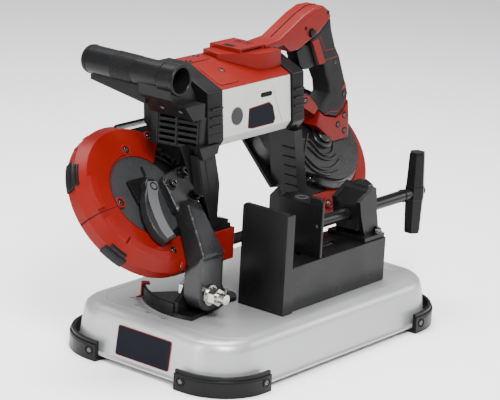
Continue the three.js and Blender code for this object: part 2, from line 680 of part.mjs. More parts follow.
// The front guard; its face runs on past the roof, where the side wall stops to let the blade through.
function frontGuard() {
  const { u, v, radius, inner, from } = FRONT_GUARD;
  const back = PLATE_FRONT + 0.4;
  const section = [[inner, back], [inner, RING_FACE - 1], [inner + 1.5, RING_FACE],
    [radius - 10, RING_FACE], [radius - 7, back]];
  return join(guard(FRONT_GUARD), arcSweep(section, u, v, 45, from + 0.5, 7));
}

// The straight cover under the blade, between a wheel and the blade guide.
function lowerCover(u0, u1, floor) {
  const face = PLATE_FRONT + 0.3;
  const shape = outline([[floor, GUARD_BACK], [floor, face - 4], [floor + 4, face], [19, face],
    [19, face - 3], [floor + 5, face - 3], [floor + 3, face - 5], [floor + 3, GUARD_BACK]]);
  return prismX(shape, u0, u1);
}

function rearGuard() {
  return join(guard(REAR_GUARD), lowerCover(92.4, DRIVE_U + 0.5, -11));
}

place(wheelFrame, "front_guard", frontGuard(), "red");
place(wheelFrame, "rear_guard", rearGuard(), "red");
place(wheelFrame, "front_lower_cover", lowerCover(IDLER_U + GAP, FRONT_COVER.left - 0.4, -19), "red");

// ---------------------------------------------------------------- band wheels and blade
const HUB_RADIUS = 16;
const DRIVE_FLANGE = 13;
const HALF_WHEEL = WHEEL_WIDTH / 2;

function bandWheel(u, bore) {
  const rim = WHEEL_RADIUS - 2.5;
  const profile = [[bore, -6], [HUB_RADIUS + 2, -6], [HUB_RADIUS + 4, -2], [rim - 6, -2],
    [rim - 5, -HALF_WHEEL], [rim, -HALF_WHEEL], [rim, HALF_WHEEL], [rim - 5, HALF_WHEEL], [rim - 6, 2],
    [HUB_RADIUS + 4, 2], [HUB_RADIUS + 2, 6], [bore, 6], [bore, -6]];
  const holes = Array.from({ length: 6 }, (_, k) => {
    const [x, y] = circlePoint(0, 0, 46, 60 * k);
    return rod("z", 14, -10, 10, x, y, 12);
  });
  return cut(turned(profile, 36), ...holes).translate(u, WHEEL_V, 0);
}

function wheelTyre(u) {
  const inner = WHEEL_RADIUS - 2.5 + GAP;
  const profile = [[inner, -HALF_WHEEL], [WHEEL_RADIUS, -HALF_WHEEL], [WHEEL_RADIUS, HALF_WHEEL],
    [inner, HALF_WHEEL], [inner, -HALF_WHEEL]];
  return turned(profile, 40).translate(u, WHEEL_V, 0);
}

// The idler axle and the slide plate that the tension lever pushes.
function tensionCarriage() {
  const axle = rod("z", AXLE_RADIUS, -8, 14, IDLER_U, WHEEL_V, 32);
  const cap = rod("z", 11, -10, -6.3, IDLER_U, WHEEL_V, 32);
  const slide = box(IDLER_U - 20, IDLER_U + 10, WHEEL_V - 15, WHEEL_V + 15, PLATE_FRONT + GAP, 17.6);
  return join(axle, cap, slide);
}

const LEVER = { base: 18.2, top: 30, tipV: 14 };

// A curved lever that lies along the guard; its hub is over the idler axle.
function tensionLever() {
  const [u, v] = [IDLER_U, WHEEL_V - 3];
  const shape = new THREE.Shape();
  shape.moveTo(u + 10, v);
  shape.absarc(u, v + 1, 10, 0, Math.PI, false);
  shape.bezierCurveTo(u - 25, v - 10, u - 42, v - 46, u - 23, LEVER.tipV - 2);
  shape.lineTo(u - 4, LEVER.tipV - 0.5);
  shape.bezierCurveTo(u - 11, 34, u - 7, 56, u + 10, v);
  const hole = new THREE.Path();
  hole.absarc(u, v, 4, 0, 2 * Math.PI, true);
  shape.holes.push(hole);
  return new THREE.ExtrudeGeometry(shape, {
    depth: LEVER.top - LEVER.base - 2, bevelThickness: 1, bevelSize: 1, bevelOffset: -1, bevelSegments: 1,
    curveSegments: 10,
  }).translate(0, 0, LEVER.base + 1);
}

// How far the blade has turned about its own centre line: flat on the wheels, upright between the guides.
function bladeTwist(u, lower) {
  const guideInner = 92;
  const start = 140;
  if (!lower || Math.abs(u) >= start) {
    return 0;
  }
  const along = Math.min(1, (start - Math.abs(u)) / (start - guideInner));
  return (Math.PI / 2 - WHEEL_LEAN) * along;
}

// The welded band, 1140 mm round: each station is a small rectangle across the strip.
function blade() {
  const stations = [];
  const arcSteps = 32;
  const straight = [-140, -128, -116, -104, -92, 0, 92, 104, 116, 128, 140];
  for (let k = 0; k <= arcSteps; k += 1) {
    stations.push({ u: DRIVE_U, angle: -90 + (180 * k) / arcSteps, lower: false });
  }
  for (let k = 0; k <= arcSteps; k += 1) {
    stations.push({ u: IDLER_U, angle: 90 + (180 * k) / arcSteps, lower: false });
  }
  straight.forEach((u) => stations.push({ u, angle: -90, lower: true }));
  const rings = stations.map(({ u, angle, lower }) => {
    const radians = THREE.MathUtils.degToRad(angle);
    const outward = new THREE.Vector3(Math.cos(radians), Math.sin(radians), 0);
    const centre = new THREE.Vector3(u, WHEEL_V, 0).addScaledVector(outward, LOOP_RADIUS);
    const twist = bladeTwist(u, lower);
    const along = new THREE.Vector3(-outward.y, outward.x, 0);
    const across = new THREE.Vector3(0, 0, -1).applyAxisAngle(along, -twist);
    const through = outward.clone().applyAxisAngle(along, -twist);
    return [[1, 1], [-1, 1], [-1, -1], [1, -1]].map(([a, b]) => centre.clone()
      .addScaledVector(across, (a * BLADE_WIDTH) / 2)
      .addScaledVector(through, (b * BLADE_THICKNESS) / 2));
  });
  return skin(rings, [], true);
}

place(wheelFrame, "idler_wheel", bandWheel(IDLER_U, AXLE_RADIUS + GAP), "aluminium");
place(wheelFrame, "idler_tyre", wheelTyre(IDLER_U), "tyre");
place(wheelFrame, "drive_wheel", bandWheel(DRIVE_U, DRIVE_FLANGE + GAP), "aluminium");
place(wheelFrame, "drive_tyre", wheelTyre(DRIVE_U), "tyre");
place(wheelFrame, "tension_carriage", tensionCarriage(), "blackSteel");
place(wheelFrame, "tension_lever", tensionLever(), "casting");
place(wheelFrame, "saw_blade", blade(), "steel");

// ---------------------------------------------------------------- gear train
const LARGE_LEVEL = [21, 27];
const SMALL_LEVEL = [13.6, 19.6];

// A spur gear of straight-flanked teeth with one tooth pointing along `towards`, in degrees.
function spurGear(teeth, [from, to], u, v, towards) {
  const pitch = (teeth * GEAR_MODULE) / 2;
  const tip = pitch + 1.6;
  const root = pitch - 2.4;
  const step = 360 / teeth;
  const shape = new THREE.Shape();
  for (let k = 0; k < teeth; k += 1) {
    const middle = towards + k * step;
    const corners = [[root, -0.33], [tip, -0.13], [tip, 0.13], [root, 0.33]];
    corners.forEach(([radius, share], i) => {
      const point = circlePoint(u, v, radius, middle + share * step);
      shape[k === 0 && i === 0 ? "moveTo" : "lineTo"](...point);
    });
  }
  return prism(shape, from, to);
}

function direction(from, to) {
  return THREE.MathUtils.radToDeg(Math.atan2(to.v - from.v, to.u - from.u));
}

const DRIVE_SHAFT = { u: DRIVE_U, v: WHEEL_V };
const PINION_TO_MID = direction(BEVEL_SHAFT, MID_SHAFT);
const MID_TO_DRIVE = direction(MID_SHAFT, DRIVE_SHAFT);

function halfTooth(teeth) {
  return 180 / teeth;
}

function crossShaft() {
  const { u, v } = BEVEL_SHAFT;
  const pinion = spurGear(TEETH.cross, LARGE_LEVEL, u, v, PINION_TO_MID);
  const shaft = rod("z", 6, LARGE_LEVEL[0] - 5, 62, u, v);
  const bevel = turned([[0, 60], [21, 60], [27.4, 66], [27.4, 70.6], [18.4, 73.7], [0, 73.7]], 36)
    .translate(u, v, 0);
  return join(pinion, shaft, bevel);
}

function middleGear() {
  const { u, v } = MID_SHAFT;
  const large = spurGear(TEETH.midLarge, LARGE_LEVEL, u, v, PINION_TO_MID + 180 + halfTooth(TEETH.midLarge));
  const small = spurGear(TEETH.midSmall, [SMALL_LEVEL[0], LARGE_LEVEL[0] + 1], u, v, MID_TO_DRIVE);
  return join(large, small);
}

// The wheel shaft: it runs from the band wheel through the frame plate to the large gear.
function driveShaft() {
  const { u, v } = DRIVE_SHAFT;
  const towards = MID_TO_DRIVE + 180 + halfTooth(TEETH.drive);
  const gear = spurGear(TEETH.drive, SMALL_LEVEL, u, v, towards);
  const shaft = rod("z", AXLE_RADIUS, -9, 26.4, u, v);
  const flange = rod("z", DRIVE_FLANGE, -6, 6, u, v, 32);
  return join(gear, shaft, flange);
}

// One cup over all three gears: the hull of three circles, drawn as arcs joined by tangents.
function hullOutline(circles) {
  const points = circles.flatMap(({ u, v, radius }) => Array.from({ length: 48 }, (_, k) => (
    circlePoint(u, v, radius, 7.5 * k)
  )));
  const cross = (o, a, b) => (a[0] - o[0]) * (b[1] - o[1]) - (a[1] - o[1]) * (b[0] - o[0]);
  const half = (sorted) => sorted.reduce((chain, point) => {
    while (chain.length > 1 && cross(chain.at(-2), chain.at(-1), point) <= 0) {
      chain.pop();
    }
    chain.push(point);
    return chain;
  }, []);
  const sorted = points.sort((a, b) => a[0] - b[0] || a[1] - b[1]);
  const lower = half(sorted);
  const upper = half([...sorted].reverse());
  return outline([...lower.slice(0, -1), ...upper.slice(0, -1)]);
}

const COVER_FACE = 30;

function coverCircles(growth) {
  return [
    { ...DRIVE_SHAFT, radius: 54 + growth },
    { ...MID_SHAFT, radius: 42 + growth },
    { ...BEVEL_SHAFT, radius: 20 + growth },
  ];
}

function gearCover() {
  const outside = prism(hullOutline(coverCircles(4)), PLATE_FRONT + GAP, COVER_FACE);
  const inside = prism(hullOutline(coverCircles(1)), PLATE_FRONT, COVER_FACE - 2.6);
  const boss = rod("z", 15, COVER_FACE - 2, COVER_FACE + 3, DRIVE_U - 4, WHEEL_V, 32);
  const shaftHole = rod("z", 6.5, 20, 40, BEVEL_SHAFT.u, BEVEL_SHAFT.v);
  const motorSide = toWheelFrame(box(0, MOTOR.right + 22.4, -60, 160, MOTOR.z - 48, 400));
  return cut(join(cut(outside, inside), boss, bevelCan()), shaftHole, motorSide);
}

// The can over the bevel pair, open towards the motor.
function bevelCan() {
  const { u, v } = BEVEL_SHAFT;
  const low = COVER_FACE - 1;
  const profile = [[0, 92], [9, 92], [26, 76], [30.6, 72.5], [30.6, low], [28, low], [28, 71.4], [24.6, 74.4],
    [8, 90.2], [0, 90.2]];
  const can = turned(profile, 32).translate(u, v, 0);
  return cut(can, toWheelFrame(rod("x", 12, 50, 76, MOTOR.y, MOTOR.z)));
}

function motorRotor() {
  const core = rod("x", 24, -66, 18, MOTOR.y, MOTOR.z, 36);
  const shaft = rod("x", 4, -95, 27, MOTOR.y, MOTOR.z, 16);
  const fan = rod("x", 27, -80, -72, MOTOR.y, MOTOR.z, 24);
  return join(core, shaft, fan);
}

function outputShaft() {
  const carrier = rod("x", 21, 30, 46, MOTOR.y, MOTOR.z, 32);
  const shaft = rod("x", 5, 40, 66, MOTOR.y, MOTOR.z);
  const pinion = turned([[0, 0], [9.4, 0], [6.3, 9], [0, 9]], 20).rotateY(Math.PI / 2)
    .translate(63.8, MOTOR.y, MOTOR.z);
  return join(carrier, shaft, pinion);
}

place(wheelFrame, "drive_shaft_gear", driveShaft(), "steel");
place(wheelFrame, "middle_gear", middleGear(), "steel");
place(wheelFrame, "cross_shaft", crossShaft(), "steel");
place(wheelFrame, "gear_cover", gearCover(), "casting");
place(saw, "motor_rotor", motorRotor(), "steel");
place(saw, "output_shaft", outputShaft(), "steel");

// ---------------------------------------------------------------- motor housing
function motorOutline(growth) {
  return outline(MOTOR_SECTION.map(([y, z]) => [
    MOTOR.y + (y - MOTOR.y) * growth, MOTOR.z + (z - MOTOR.z) * growth]));
}

const SHELL_INNER = 0.93;

function motorTube() {
  const { left, right } = MOTOR;
  return cut(prismX(motorOutline(1), left, right), prismX(motorOutline(SHELL_INNER), left - 1, right + 1));
}

function motorHousing() {
  const below = box(-200, 200, -50, 150, 200, MOTOR_SPLIT_Z);
  const vent = box(-14, 4, -20, 12, 291, 295.5);
  return cut(common(motorTube(), below), vent);
}

function motorTopShell() {
  return common(motorTube(), box(-200, 200, -50, 150, MOTOR_SPLIT_Z + GAP, 400));
}

const FRONT_BEZEL = { left: -113, right: MOTOR.left - GAP };
const REAR_BEZEL = { left: MOTOR.right + GAP, right: 62 };

function frontBezel() {
  const { left, right } = FRONT_BEZEL;
  const ring = prismX(motorOutline(BEZEL_GROWTH), left, right);
  const room = prismX(motorOutline(SHELL_INNER), left + 22, right + 1);
  const bearingSeat = rod("x", 4.4, left + 10, right, MOTOR.y, MOTOR.z, 16);
  return cut(ring, room, bearingSeat);
}

// The rear end cap; the collar inside it is the case of the planetary stage.
function rearBezel() {
  const { left, right } = REAR_BEZEL;
  const ring = prismX(motorOutline(BEZEL_GROWTH), left, right);
  const collar = rod("x", 27, left - 13, left + 2, MOTOR.y, MOTOR.z, 32);
  const gearRoom = rod("x", 23, left - 20, left + 9, MOTOR.y, MOTOR.z, 32);
  return cut(join(ring, collar), gearRoom, rod("x", 6, 40, 70, MOTOR.y, MOTOR.z));
}

const VENT = { rows: 5, pitch: 7, height: 3.2, first: 250 };

// The front end cap, slotted for the cooling air; its face is turned a little towards the operator.
function ventCap() {
  const back = FRONT_BEZEL.left - GAP;
  const plan = outline([[back, -4], [-122, -4], [-135, 52], [-135, 60], [back, 60]]);
  const cap = prism(plan, 246, 284);
  const room = box(-121, back + 1, 6, 52, 249, 280);
  const slots = [];
  for (let row = 0; row < VENT.rows; row += 1) {
    const z = VENT.first + row * VENT.pitch;
    slots.push(box(-160, -119, 2, 25, z, z + VENT.height));
    slots.push(box(-160, -119, 29, 48, z, z + VENT.height));
  }
  return cut(cap, room, ...slots);
}

place(saw, "motor_housing", motorHousing(), "white");
place(saw, "motor_top_shell", motorTopShell(), "red");
place(saw, "motor_front_bezel", frontBezel(), "black");
place(saw, "motor_rear_bezel", rearBezel(), "black");
place(saw, "vent_cap", ventCap(), "black");

// ---------------------------------------------------------------- handles
const FRONT_HANDLE = {
  x: -150, z: 330, from: 5, to: 145, radius: 16.5, collar: 17.5, bore: 14.5, depth: 118,
};
const COLLAR_LENGTH = 22;

function frontHandle() {
  const { x, z, from, to, radius, collar, bore, depth } = FRONT_HANDLE;
  const length = to - from;
  const profile = [[0, 0], [radius - 3, 0], [radius, 3], [radius, length - COLLAR_LENGTH - 1],
    [collar, length - COLLAR_LENGTH], [collar, length - 1], [collar - 1, length], [bore, length],
    [bore, length - depth], [0, length - depth]];
  return turned(profile, 36).rotateX(Math.PI / 2).translate(x, to, z);
}

// The saddle under the near end of the front handle, and the fin that runs out under the grip.
function frontHandleBracket() {
  const { x, z, from, to, radius, collar } = FRONT_HANDLE;
  const low = 284.3;
  const saddle = outline([[x + 9, low], [x + 32, low], [x + 30, 306], [x + 17, 326], [x - 15, 326],
    [x - 12, 308], [x + 4, 290]]);
  const toe = outline([[x + 9, low], [x + 28, low], [x + 28, 302], [x - 6, 302]]);
  const fin = outline([[50, 296], [134, 308.5], [134, 320], [50, 320]]);
  const body = join(prismY(saddle, 8, 56), prismY(toe, -8, 9), prismX(fin, x - 8, x + 8));
  const collarRoom = rod("y", collar + GAP, -20, from + COLLAR_LENGTH + 1, x, z, 36);
  return cut(body, collarRoom, rod("y", radius + GAP, 0, to, x, z, 36));
}

const DOCK = { left: -16, right: 28, near: 32, far: 78, bottom: 331.4, top: 341 };
const PEDESTAL = { right: 39.6, near: 14.5, far: 76, top: 336.4, underHandle: 333.8 };

// The block under the dock's rail, fitted over the motor's top shell and under the handle's front end.
function dockPedestal() {
  const { right, near, far, top, underHandle } = PEDESTAL;
  const plan = outline([[2, near + 2.5], [24, near], [right, near + 0.5], [right, far], [-30, far], [-39, 47]]);
  const aboveShell = 300;
  const motor = prismX(motorOutline(1.01), -100, 100);
  const handle = box(DOCK.right, right + 1, HANDLE_Y[0] - 0.4, far + 1, underHandle, top + 1);
  return cut(prism(plan, aboveShell, top), motor, handle);
}

// The rail the battery slides on, on its pedestal.
function batteryDock() {
  const { left, right, near, far, bottom, top } = DOCK;
  const section = outline([[near + 18, bottom], [far - 6, bottom], [far, bottom + 4], [far, top], [near, top],
    [near, bottom + 4], [near + 9, bottom]]);
  const grooves = [[near, near + 4], [far - 4, far]].map(([a, b]) => (
    box(left + 4, right - 4, a, b, top - 4, top - 2)
  ));
  return cut(join(prismX(section, left, right), dockPedestal()), ...grooves);
}

const LOCK_BUTTON = { x: 116, z: 343 };

// The saddle that carries the top arm of the handle; the lock button goes through its near side.
function handleTop() {
  const shape = outline([[28.4, DOCK.top], [56, 343.5], [100, 366], [120, 373], [138, 373], [149, 366],
    [153.5, 357.5], [131, 340.2], [107, 331], [92, 325], [76, 325], [64, 334.2], [28.4, 334.2]]);
  const body = roundedPrismY(shape, HANDLE_Y[0], HANDLE_Y[1], 2.5);
  const buttonWell = rod("y", 5.4, HANDLE_Y[0] - 5, HANDLE_Y[0] + 12, LOCK_BUTTON.x, LOCK_BUTTON.z);
  return cut(body, buttonWell);
}

function lockButton() {
  return rod("y", 5, HANDLE_Y[0] - 3.4, HANDLE_Y[0] + 8, LOCK_BUTTON.x, LOCK_BUTTON.z);
}

// The line the trigger closes against, as [x, z] from its top to its bottom.
const TRIGGER_EDGE = [[117.5, 333], [134.2, 298.5]];
const TRIGGER_TRAVEL = 5;

// A strip left of the trigger's edge line, moved along x by `shift`.
function leftOfTriggerEdge(shift, reach) {
  const [[topX, topZ], [lowX, lowZ]] = TRIGGER_EDGE;
  const slope = (lowX - topX) / (lowZ - topZ);
  const at = (z) => topX + slope * (z - topZ) + shift;
  const [low, top] = [lowZ - 8, topZ + 8];
  return outline([[at(top), top], [at(low), low], [at(low) - reach, low], [at(top) - reach, top]]);
}

// The soft grip and the boot below it; the trigger slides into the pocket in its front.
function handleGrip() {
  const shape = outline([[117.5, 334.2], [130.8, 339.5], [153.8, 357], [158, 341], [168, 318], [177, 306],
    [188, 281], [198, 258.5], [198, 248], [193, 236], [178, 228.5], [154, 234.5], [142, 242.7], [161, 261],
    [158, 274], [150.5, 286], [147, 297], [140, 302], [134, 298.5]]);
  const body = roundedPrismY(shape, HANDLE_Y[0] + 1, HANDLE_Y[1] - 1, 3);
  const pocket = prismY(leftOfTriggerEdge(TRIGGER_TRAVEL + 1.5, 30), 35.5, 54.5);
  return cut(body, pocket);
}

function handleBase() {
  const shape = outline([[137, 224], [141.6, 242], [153.8, 233.9], [178, 227.8], [193.4, 235.3], [199, 247],
    [203, 225], [204, 197], [196, 186], [178, 186], [169, 200], [155, 211]]);
  const body = roundedPrismY(shape, HANDLE_Y[0], HANDLE_Y[1], 2.5);
  const belowCover = inWheelFrame(box(0, 400, -200, 300, -100, COVER_FACE + 3 + GAP));
  return cut(body, belowCover);
}

function trigger() {
  const shape = outline([[113, 328], [108, 327.5], [96, 322], [105, 303], [112, 297], [122, 296],
    [133, 298.5], [136, 300], [121, 328]]);
  const body = roundedPrismY(shape, 36, 54, 2);
  return common(body, prismY(leftOfTriggerEdge(1, 60), 30, 60));
}

place(saw, "front_handle", frontHandle(), "black");
place(saw, "front_handle_bracket", frontHandleBracket(), "black");
place(saw, "battery_dock", batteryDock(), "red");
place(saw, "handle_top", handleTop(), "red");
place(saw, "handle_grip", handleGrip(), "grip");
place(saw, "handle_base", handleBase(), "red");
place(saw, "trigger", trigger(), "black");
place(saw, "lock_button", lockButton(), "black");

// The origin is the middle of the footprint, on the bench.
const bounds = new THREE.Box3().setFromObject(saw, true);
const middle = bounds.getCenter(new THREE.Vector3());
saw.position.set(-middle.x, -middle.y, -bounds.min.z);

export default saw;
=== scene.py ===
"""A cordless band saw on its mitre bench stand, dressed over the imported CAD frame.

Positions are in millimetres in two frames. WORLD is the saw's design frame: x along the base, y away from the
operator, z up. WHEEL lies in the plane of the band wheels: u along the blade, v towards the blade's top run,
w out of the plane towards the operator.
"""

import json
import math

import bmesh
import bpy
from mathutils import Matrix, Vector


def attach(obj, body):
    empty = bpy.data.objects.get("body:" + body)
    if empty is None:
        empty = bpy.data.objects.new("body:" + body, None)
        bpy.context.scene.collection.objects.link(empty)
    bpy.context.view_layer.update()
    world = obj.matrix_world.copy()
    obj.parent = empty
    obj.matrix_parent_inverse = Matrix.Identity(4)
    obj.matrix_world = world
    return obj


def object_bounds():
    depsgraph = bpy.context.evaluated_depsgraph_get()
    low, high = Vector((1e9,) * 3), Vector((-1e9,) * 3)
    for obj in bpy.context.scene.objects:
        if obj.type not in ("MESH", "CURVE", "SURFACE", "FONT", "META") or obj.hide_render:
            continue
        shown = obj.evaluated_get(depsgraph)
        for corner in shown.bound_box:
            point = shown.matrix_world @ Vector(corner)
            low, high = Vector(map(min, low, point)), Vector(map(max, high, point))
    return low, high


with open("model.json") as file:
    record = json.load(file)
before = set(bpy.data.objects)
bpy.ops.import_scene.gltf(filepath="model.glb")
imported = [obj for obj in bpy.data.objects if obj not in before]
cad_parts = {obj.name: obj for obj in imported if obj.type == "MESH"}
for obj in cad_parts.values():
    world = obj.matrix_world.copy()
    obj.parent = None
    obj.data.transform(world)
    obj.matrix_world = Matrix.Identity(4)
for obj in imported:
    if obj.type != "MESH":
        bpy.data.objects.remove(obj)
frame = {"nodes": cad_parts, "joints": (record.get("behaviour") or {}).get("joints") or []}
CAD_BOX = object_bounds()

# ---------------------------------------------------------------- frames
MM = 0.001
JOINTS = {joint["name"]: joint for joint in frame["joints"]}


def axes_at(origin, x_axis, y_axis):
    """A matrix from millimetres on these axes to the row frame; its z axis is x cross y."""
    x_axis = Vector(x_axis).normalized()
    y_axis = Vector(y_axis).normalized()
    matrix = Matrix((x_axis, y_axis, x_axis.cross(y_axis))).transposed().to_4x4() @ Matrix.Scale(MM, 4)
    matrix.translation = Vector(origin)
    return matrix


BASE_TOP = 58
MITRE_CENTRE = Vector((-70, 0, BASE_TOP))
IDLER_U = -153
DRIVE_U = 162
WHEEL_V = 81.1
DRIVE_CENTRE = Vector((DRIVE_U, WHEEL_V, 0))
ORIGIN = Vector(JOINTS["miter_swivel"]["pos_m"]) - MITRE_CENTRE * MM
WORLD = axes_at(ORIGIN, (1, 0, 0), (0, 1, 0))
WHEEL_NORMAL = Vector(JOINTS["drive_spin"]["axis"])
WHEEL_UP = WHEEL_NORMAL.cross(Vector((1, 0, 0)))
WHEEL = axes_at((0, 0, 0), (1, 0, 0), WHEEL_UP)
WHEEL.translation = Vector(JOINTS["drive_spin"]["pos_m"]) - WHEEL.to_3x3() @ DRIVE_CENTRE


def at(base, x, y, z=0.0, turn=0.0, axis="Z"):
    """`base` moved to (x, y, z) mm in its own axes, then turned about one of them."""
    return base @ Matrix.Translation((x, y, z)) @ Matrix.Rotation(math.radians(turn), 4, axis)


def facing(direction, x, y, z):
    """A frame on a face of the world frame at (x, y, z) mm; its z axis points along `direction`."""
    turns = {
        "front": ((1, 0, 0), (0, 0, 1)),
        "back": ((-1, 0, 0), (0, 0, 1)),
        "left": ((0, -1, 0), (0, 0, 1)),
        "right": ((0, 1, 0), (0, 0, 1)),
        "up": ((1, 0, 0), (0, 1, 0)),
    }
    return axes_at(WORLD @ Vector((x, y, z)), *turns[direction])


def on_wheel(u, v, w, turn=0.0):
    """A frame parallel to the wheels' plane at (u, v, w) mm."""
    return at(WHEEL, u, v, w, turn)


# Faces the details stand on: heights above the wheels' plane or the floor, and frames on leaning faces.
FRAME_FACE = 12.6
GUARD_FACE = 15.6
COVER_FACE = 30
LEVER_FACE = 30
ARM_DECK = 24
GUARD_U, GUARD_V = IDLER_U, 75
FRONT_GUARD_SCREWS = ((-105.4, 141.8), (-150, 133), (-198.5, 74.2), (-158, 4))
REAR_GUARD_SCREWS = ((222, 62), (207, 110), (176, 8), (128, 3))
MITRE_RANGE = 45
MOTOR_TOP = 331
DOCK_TOP = 341
HANDLE_NEAR, HANDLE_FAR = 30, 60
GRIP_INSET = 1
EDGE_ANGLE = 32
ARM_BOLTS = ((-92, 86), (-119, 76), (-91, 57))
MOTOR_FACET = at(facing("front", 0, -5, 255), 0, 0, 0, -math.degrees(math.atan2(5, 55)), "X")
MOTOR_SLOPE = at(facing("up", 0, 0, 310), 0, 0, 0, math.degrees(math.atan2(21, 48)), "X")
SADDLE_FACE = at(facing("left", -146, 0, 290), 0, 0, 0, math.degrees(math.atan2(16, 18)), "X")
VENT_FACE = at(facing("left", -122, -4, 246), 0, 0, 0, math.degrees(math.atan2(13, 56)), "Y")


# ---------------------------------------------------------------- materials
class Surface:
    """A Principled material whose colour, roughness and bump come from procedural noise."""

    def __init__(self, name, colour, roughness, metallic=0.0, specular=0.5):
        self.material = bpy.data.materials.new(name)
        self.material.use_nodes = True
        self.material.diffuse_color = (*colour, 1)
        self.tree = self.material.node_tree
        self.shader = self.tree.nodes["Principled BSDF"]
        self.shader.inputs["Base Color"].default_value = (*colour, 1)
        self.shader.inputs["Roughness"].default_value = roughness
        self.shader.inputs["Metallic"].default_value = metallic
        self.shader.inputs["Specular IOR Level"].default_value = specular
        self.colour = colour
        self.roughness = roughness
        self.where = self.tree.nodes.new("ShaderNodeTexCoord").outputs["Object"]
        self.height = None

    def link(self, source, target):
        self.tree.links.new(source, target)

    def stretched(self, scale):
        mapping = self.tree.nodes.new("ShaderNodeMapping")
        mapping.inputs["Scale"].default_value = scale
        self.link(self.where, mapping.inputs["Vector"])
        return mapping.outputs["Vector"]

    def noise(self, scale, detail=3.0, stretch=None):
        node = self.tree.nodes.new("ShaderNodeTexNoise")
        node.inputs["Scale"].default_value = scale
        node.inputs["Detail"].default_value = detail
        self.link(self.stretched(stretch) if stretch else self.where, node.inputs["Vector"])
        return node.outputs["Fac"]

    def cells(self, scale):
        node = self.tree.nodes.new("ShaderNodeTexVoronoi")
        node.inputs["Scale"].default_value = scale
        self.link(self.where, node.inputs["Vector"])
        return node.outputs["Distance"]

    def ranged(self, source, low, high, to_low, to_high):
        node = self.tree.nodes.new("ShaderNodeMapRange")
        for name, value in zip(("From Min", "From Max", "To Min", "To Max"), (low, high, to_low, to_high)):
            node.inputs[name].default_value = value
        self.link(source, node.inputs["Value"])
        return node.outputs["Result"]

    def mottle(self, source, amount, low=0.35, high=0.65):
        """Shades the colour by +-amount where `source` is low or high."""
        ramp = self.tree.nodes.new("ShaderNodeValToRGB")
        ramp.color_ramp.elements[0].position = low
        ramp.color_ramp.elements[1].position = high
        for element, share in zip(ramp.color_ramp.elements, (1 - amount, 1 + amount)):
            element.color = (*[min(1.0, c * share) for c in self.colour], 1)
        self.link(source, ramp.inputs["Fac"])
        self.link(ramp.outputs["Color"], self.shader.inputs["Base Color"])
        return self

    def gloss(self, source, spread):
        """Varies the roughness by +-spread."""
        value = self.ranged(source, 0.3, 0.7, self.roughness - spread, self.roughness + spread)
        self.link(value, self.shader.inputs["Roughness"])
        return self

    def bump(self, source, distance, strength=1.0):
        """Adds a bump of `distance` mm on top of the bumps already there."""
        node = self.tree.nodes.new("ShaderNodeBump")
        node.inputs["Distance"].default_value = distance * MM
        node.inputs["Strength"].default_value = strength
        self.link(source, node.inputs["Height"])
        if self.height is not None:
            self.link(self.height, node.inputs["Normal"])
        self.height = node.outputs["Normal"]
        self.link(self.height, self.shader.inputs["Normal"])
        return self

    def coat(self, weight, roughness):
        self.shader.inputs["Coat Weight"].default_value = weight
        self.shader.inputs["Coat Roughness"].default_value = roughness
        return self


def moulded(name, colour, roughness, grain=0.05, specular=0.13):
    """Injection-moulded plastic: a fine spark-eroded grain, faint flow marks and uneven gloss."""
    surface = Surface(name, colour, roughness, specular=specular)
    surface.mottle(surface.noise(14, 4), 0.07)
    surface.gloss(surface.noise(30, 2), 0.06)
    return surface.bump(surface.noise(2600, 2), grain, 0.5).bump(surface.noise(12, 2), 0.5, 0.12).material


def powder_coat(name, colour, roughness):
    """Semi-gloss powder coat on sheet steel, with its orange peel."""
    surface = Surface(name, colour, roughness, specular=0.16)
    surface.mottle(surface.noise(9, 5), 0.12)
    surface.gloss(surface.noise(22, 4), 0.08)
    return surface.bump(surface.noise(520, 2), 0.06, 0.35).material


def metallic_paint(name, colour):
    """Silver base paint: small flakes under a thin clear coat, with a little orange peel."""
    surface = Surface(name, colour, 0.42, metallic=0.55)
    surface.mottle(surface.cells(1500), 0.1, 0.1, 0.7)
    surface.gloss(surface.noise(10, 4), 0.05)
    return surface.bump(surface.noise(360, 2), 0.05, 0.25).coat(0.25, 0.22).material


def die_casting(name, colour, roughness, specular=0.4):
    """Painted magnesium casting: soft hammered skin over a grained surface."""
    surface = Surface(name, colour, roughness, metallic=0.2, specular=specular)
    surface.mottle(surface.noise(16, 5), 0.14)
    surface.gloss(surface.noise(40, 3), 0.09)
    return surface.bump(surface.noise(900, 3), 0.07, 0.6).bump(surface.noise(90, 2), 0.25, 0.2).material


def plated(name, colour, roughness):
    """Zinc plate: bright, a little cloudy, with fine turning marks."""
    surface = Surface(name, colour, roughness, metallic=1.0)
    surface.mottle(surface.noise(120, 4), 0.1)
    surface.gloss(surface.noise(300, 3), 0.06)
    return surface.bump(surface.noise(900, 2), 0.006, 0.3).material


def ground_steel(name, colour, roughness, stretch):
    """Ground or brushed metal, its scratches drawn out along one axis."""
    surface = Surface(name, colour, roughness, metallic=1.0)
    scratches = surface.noise(300, 3, stretch)
    surface.mottle(scratches, 0.14)
    surface.gloss(scratches, 0.1)
    return surface.bump(scratches, 0.02, 0.6).material


def soft_rubber(name, colour, roughness):
    """Overmoulded grip or tyre rubber with a pebbled skin."""
    surface = Surface(name, colour, roughness, specular=0.12)
    surface.mottle(surface.noise(40, 4), 0.1)
    surface.gloss(surface.noise(60, 3), 0.06)
    return surface.bump(surface.cells(1300), 0.08, 0.7).material


def printed(name, colour):
    """Satin label film or ink."""
    surface = Surface(name, colour, 0.45, specular=0.08)
    surface.mottle(surface.noise(60, 3), 0.05)
    surface.gloss(surface.noise(25, 2), 0.04)
    return surface.bump(surface.noise(1500, 2), 0.01, 0.3).material


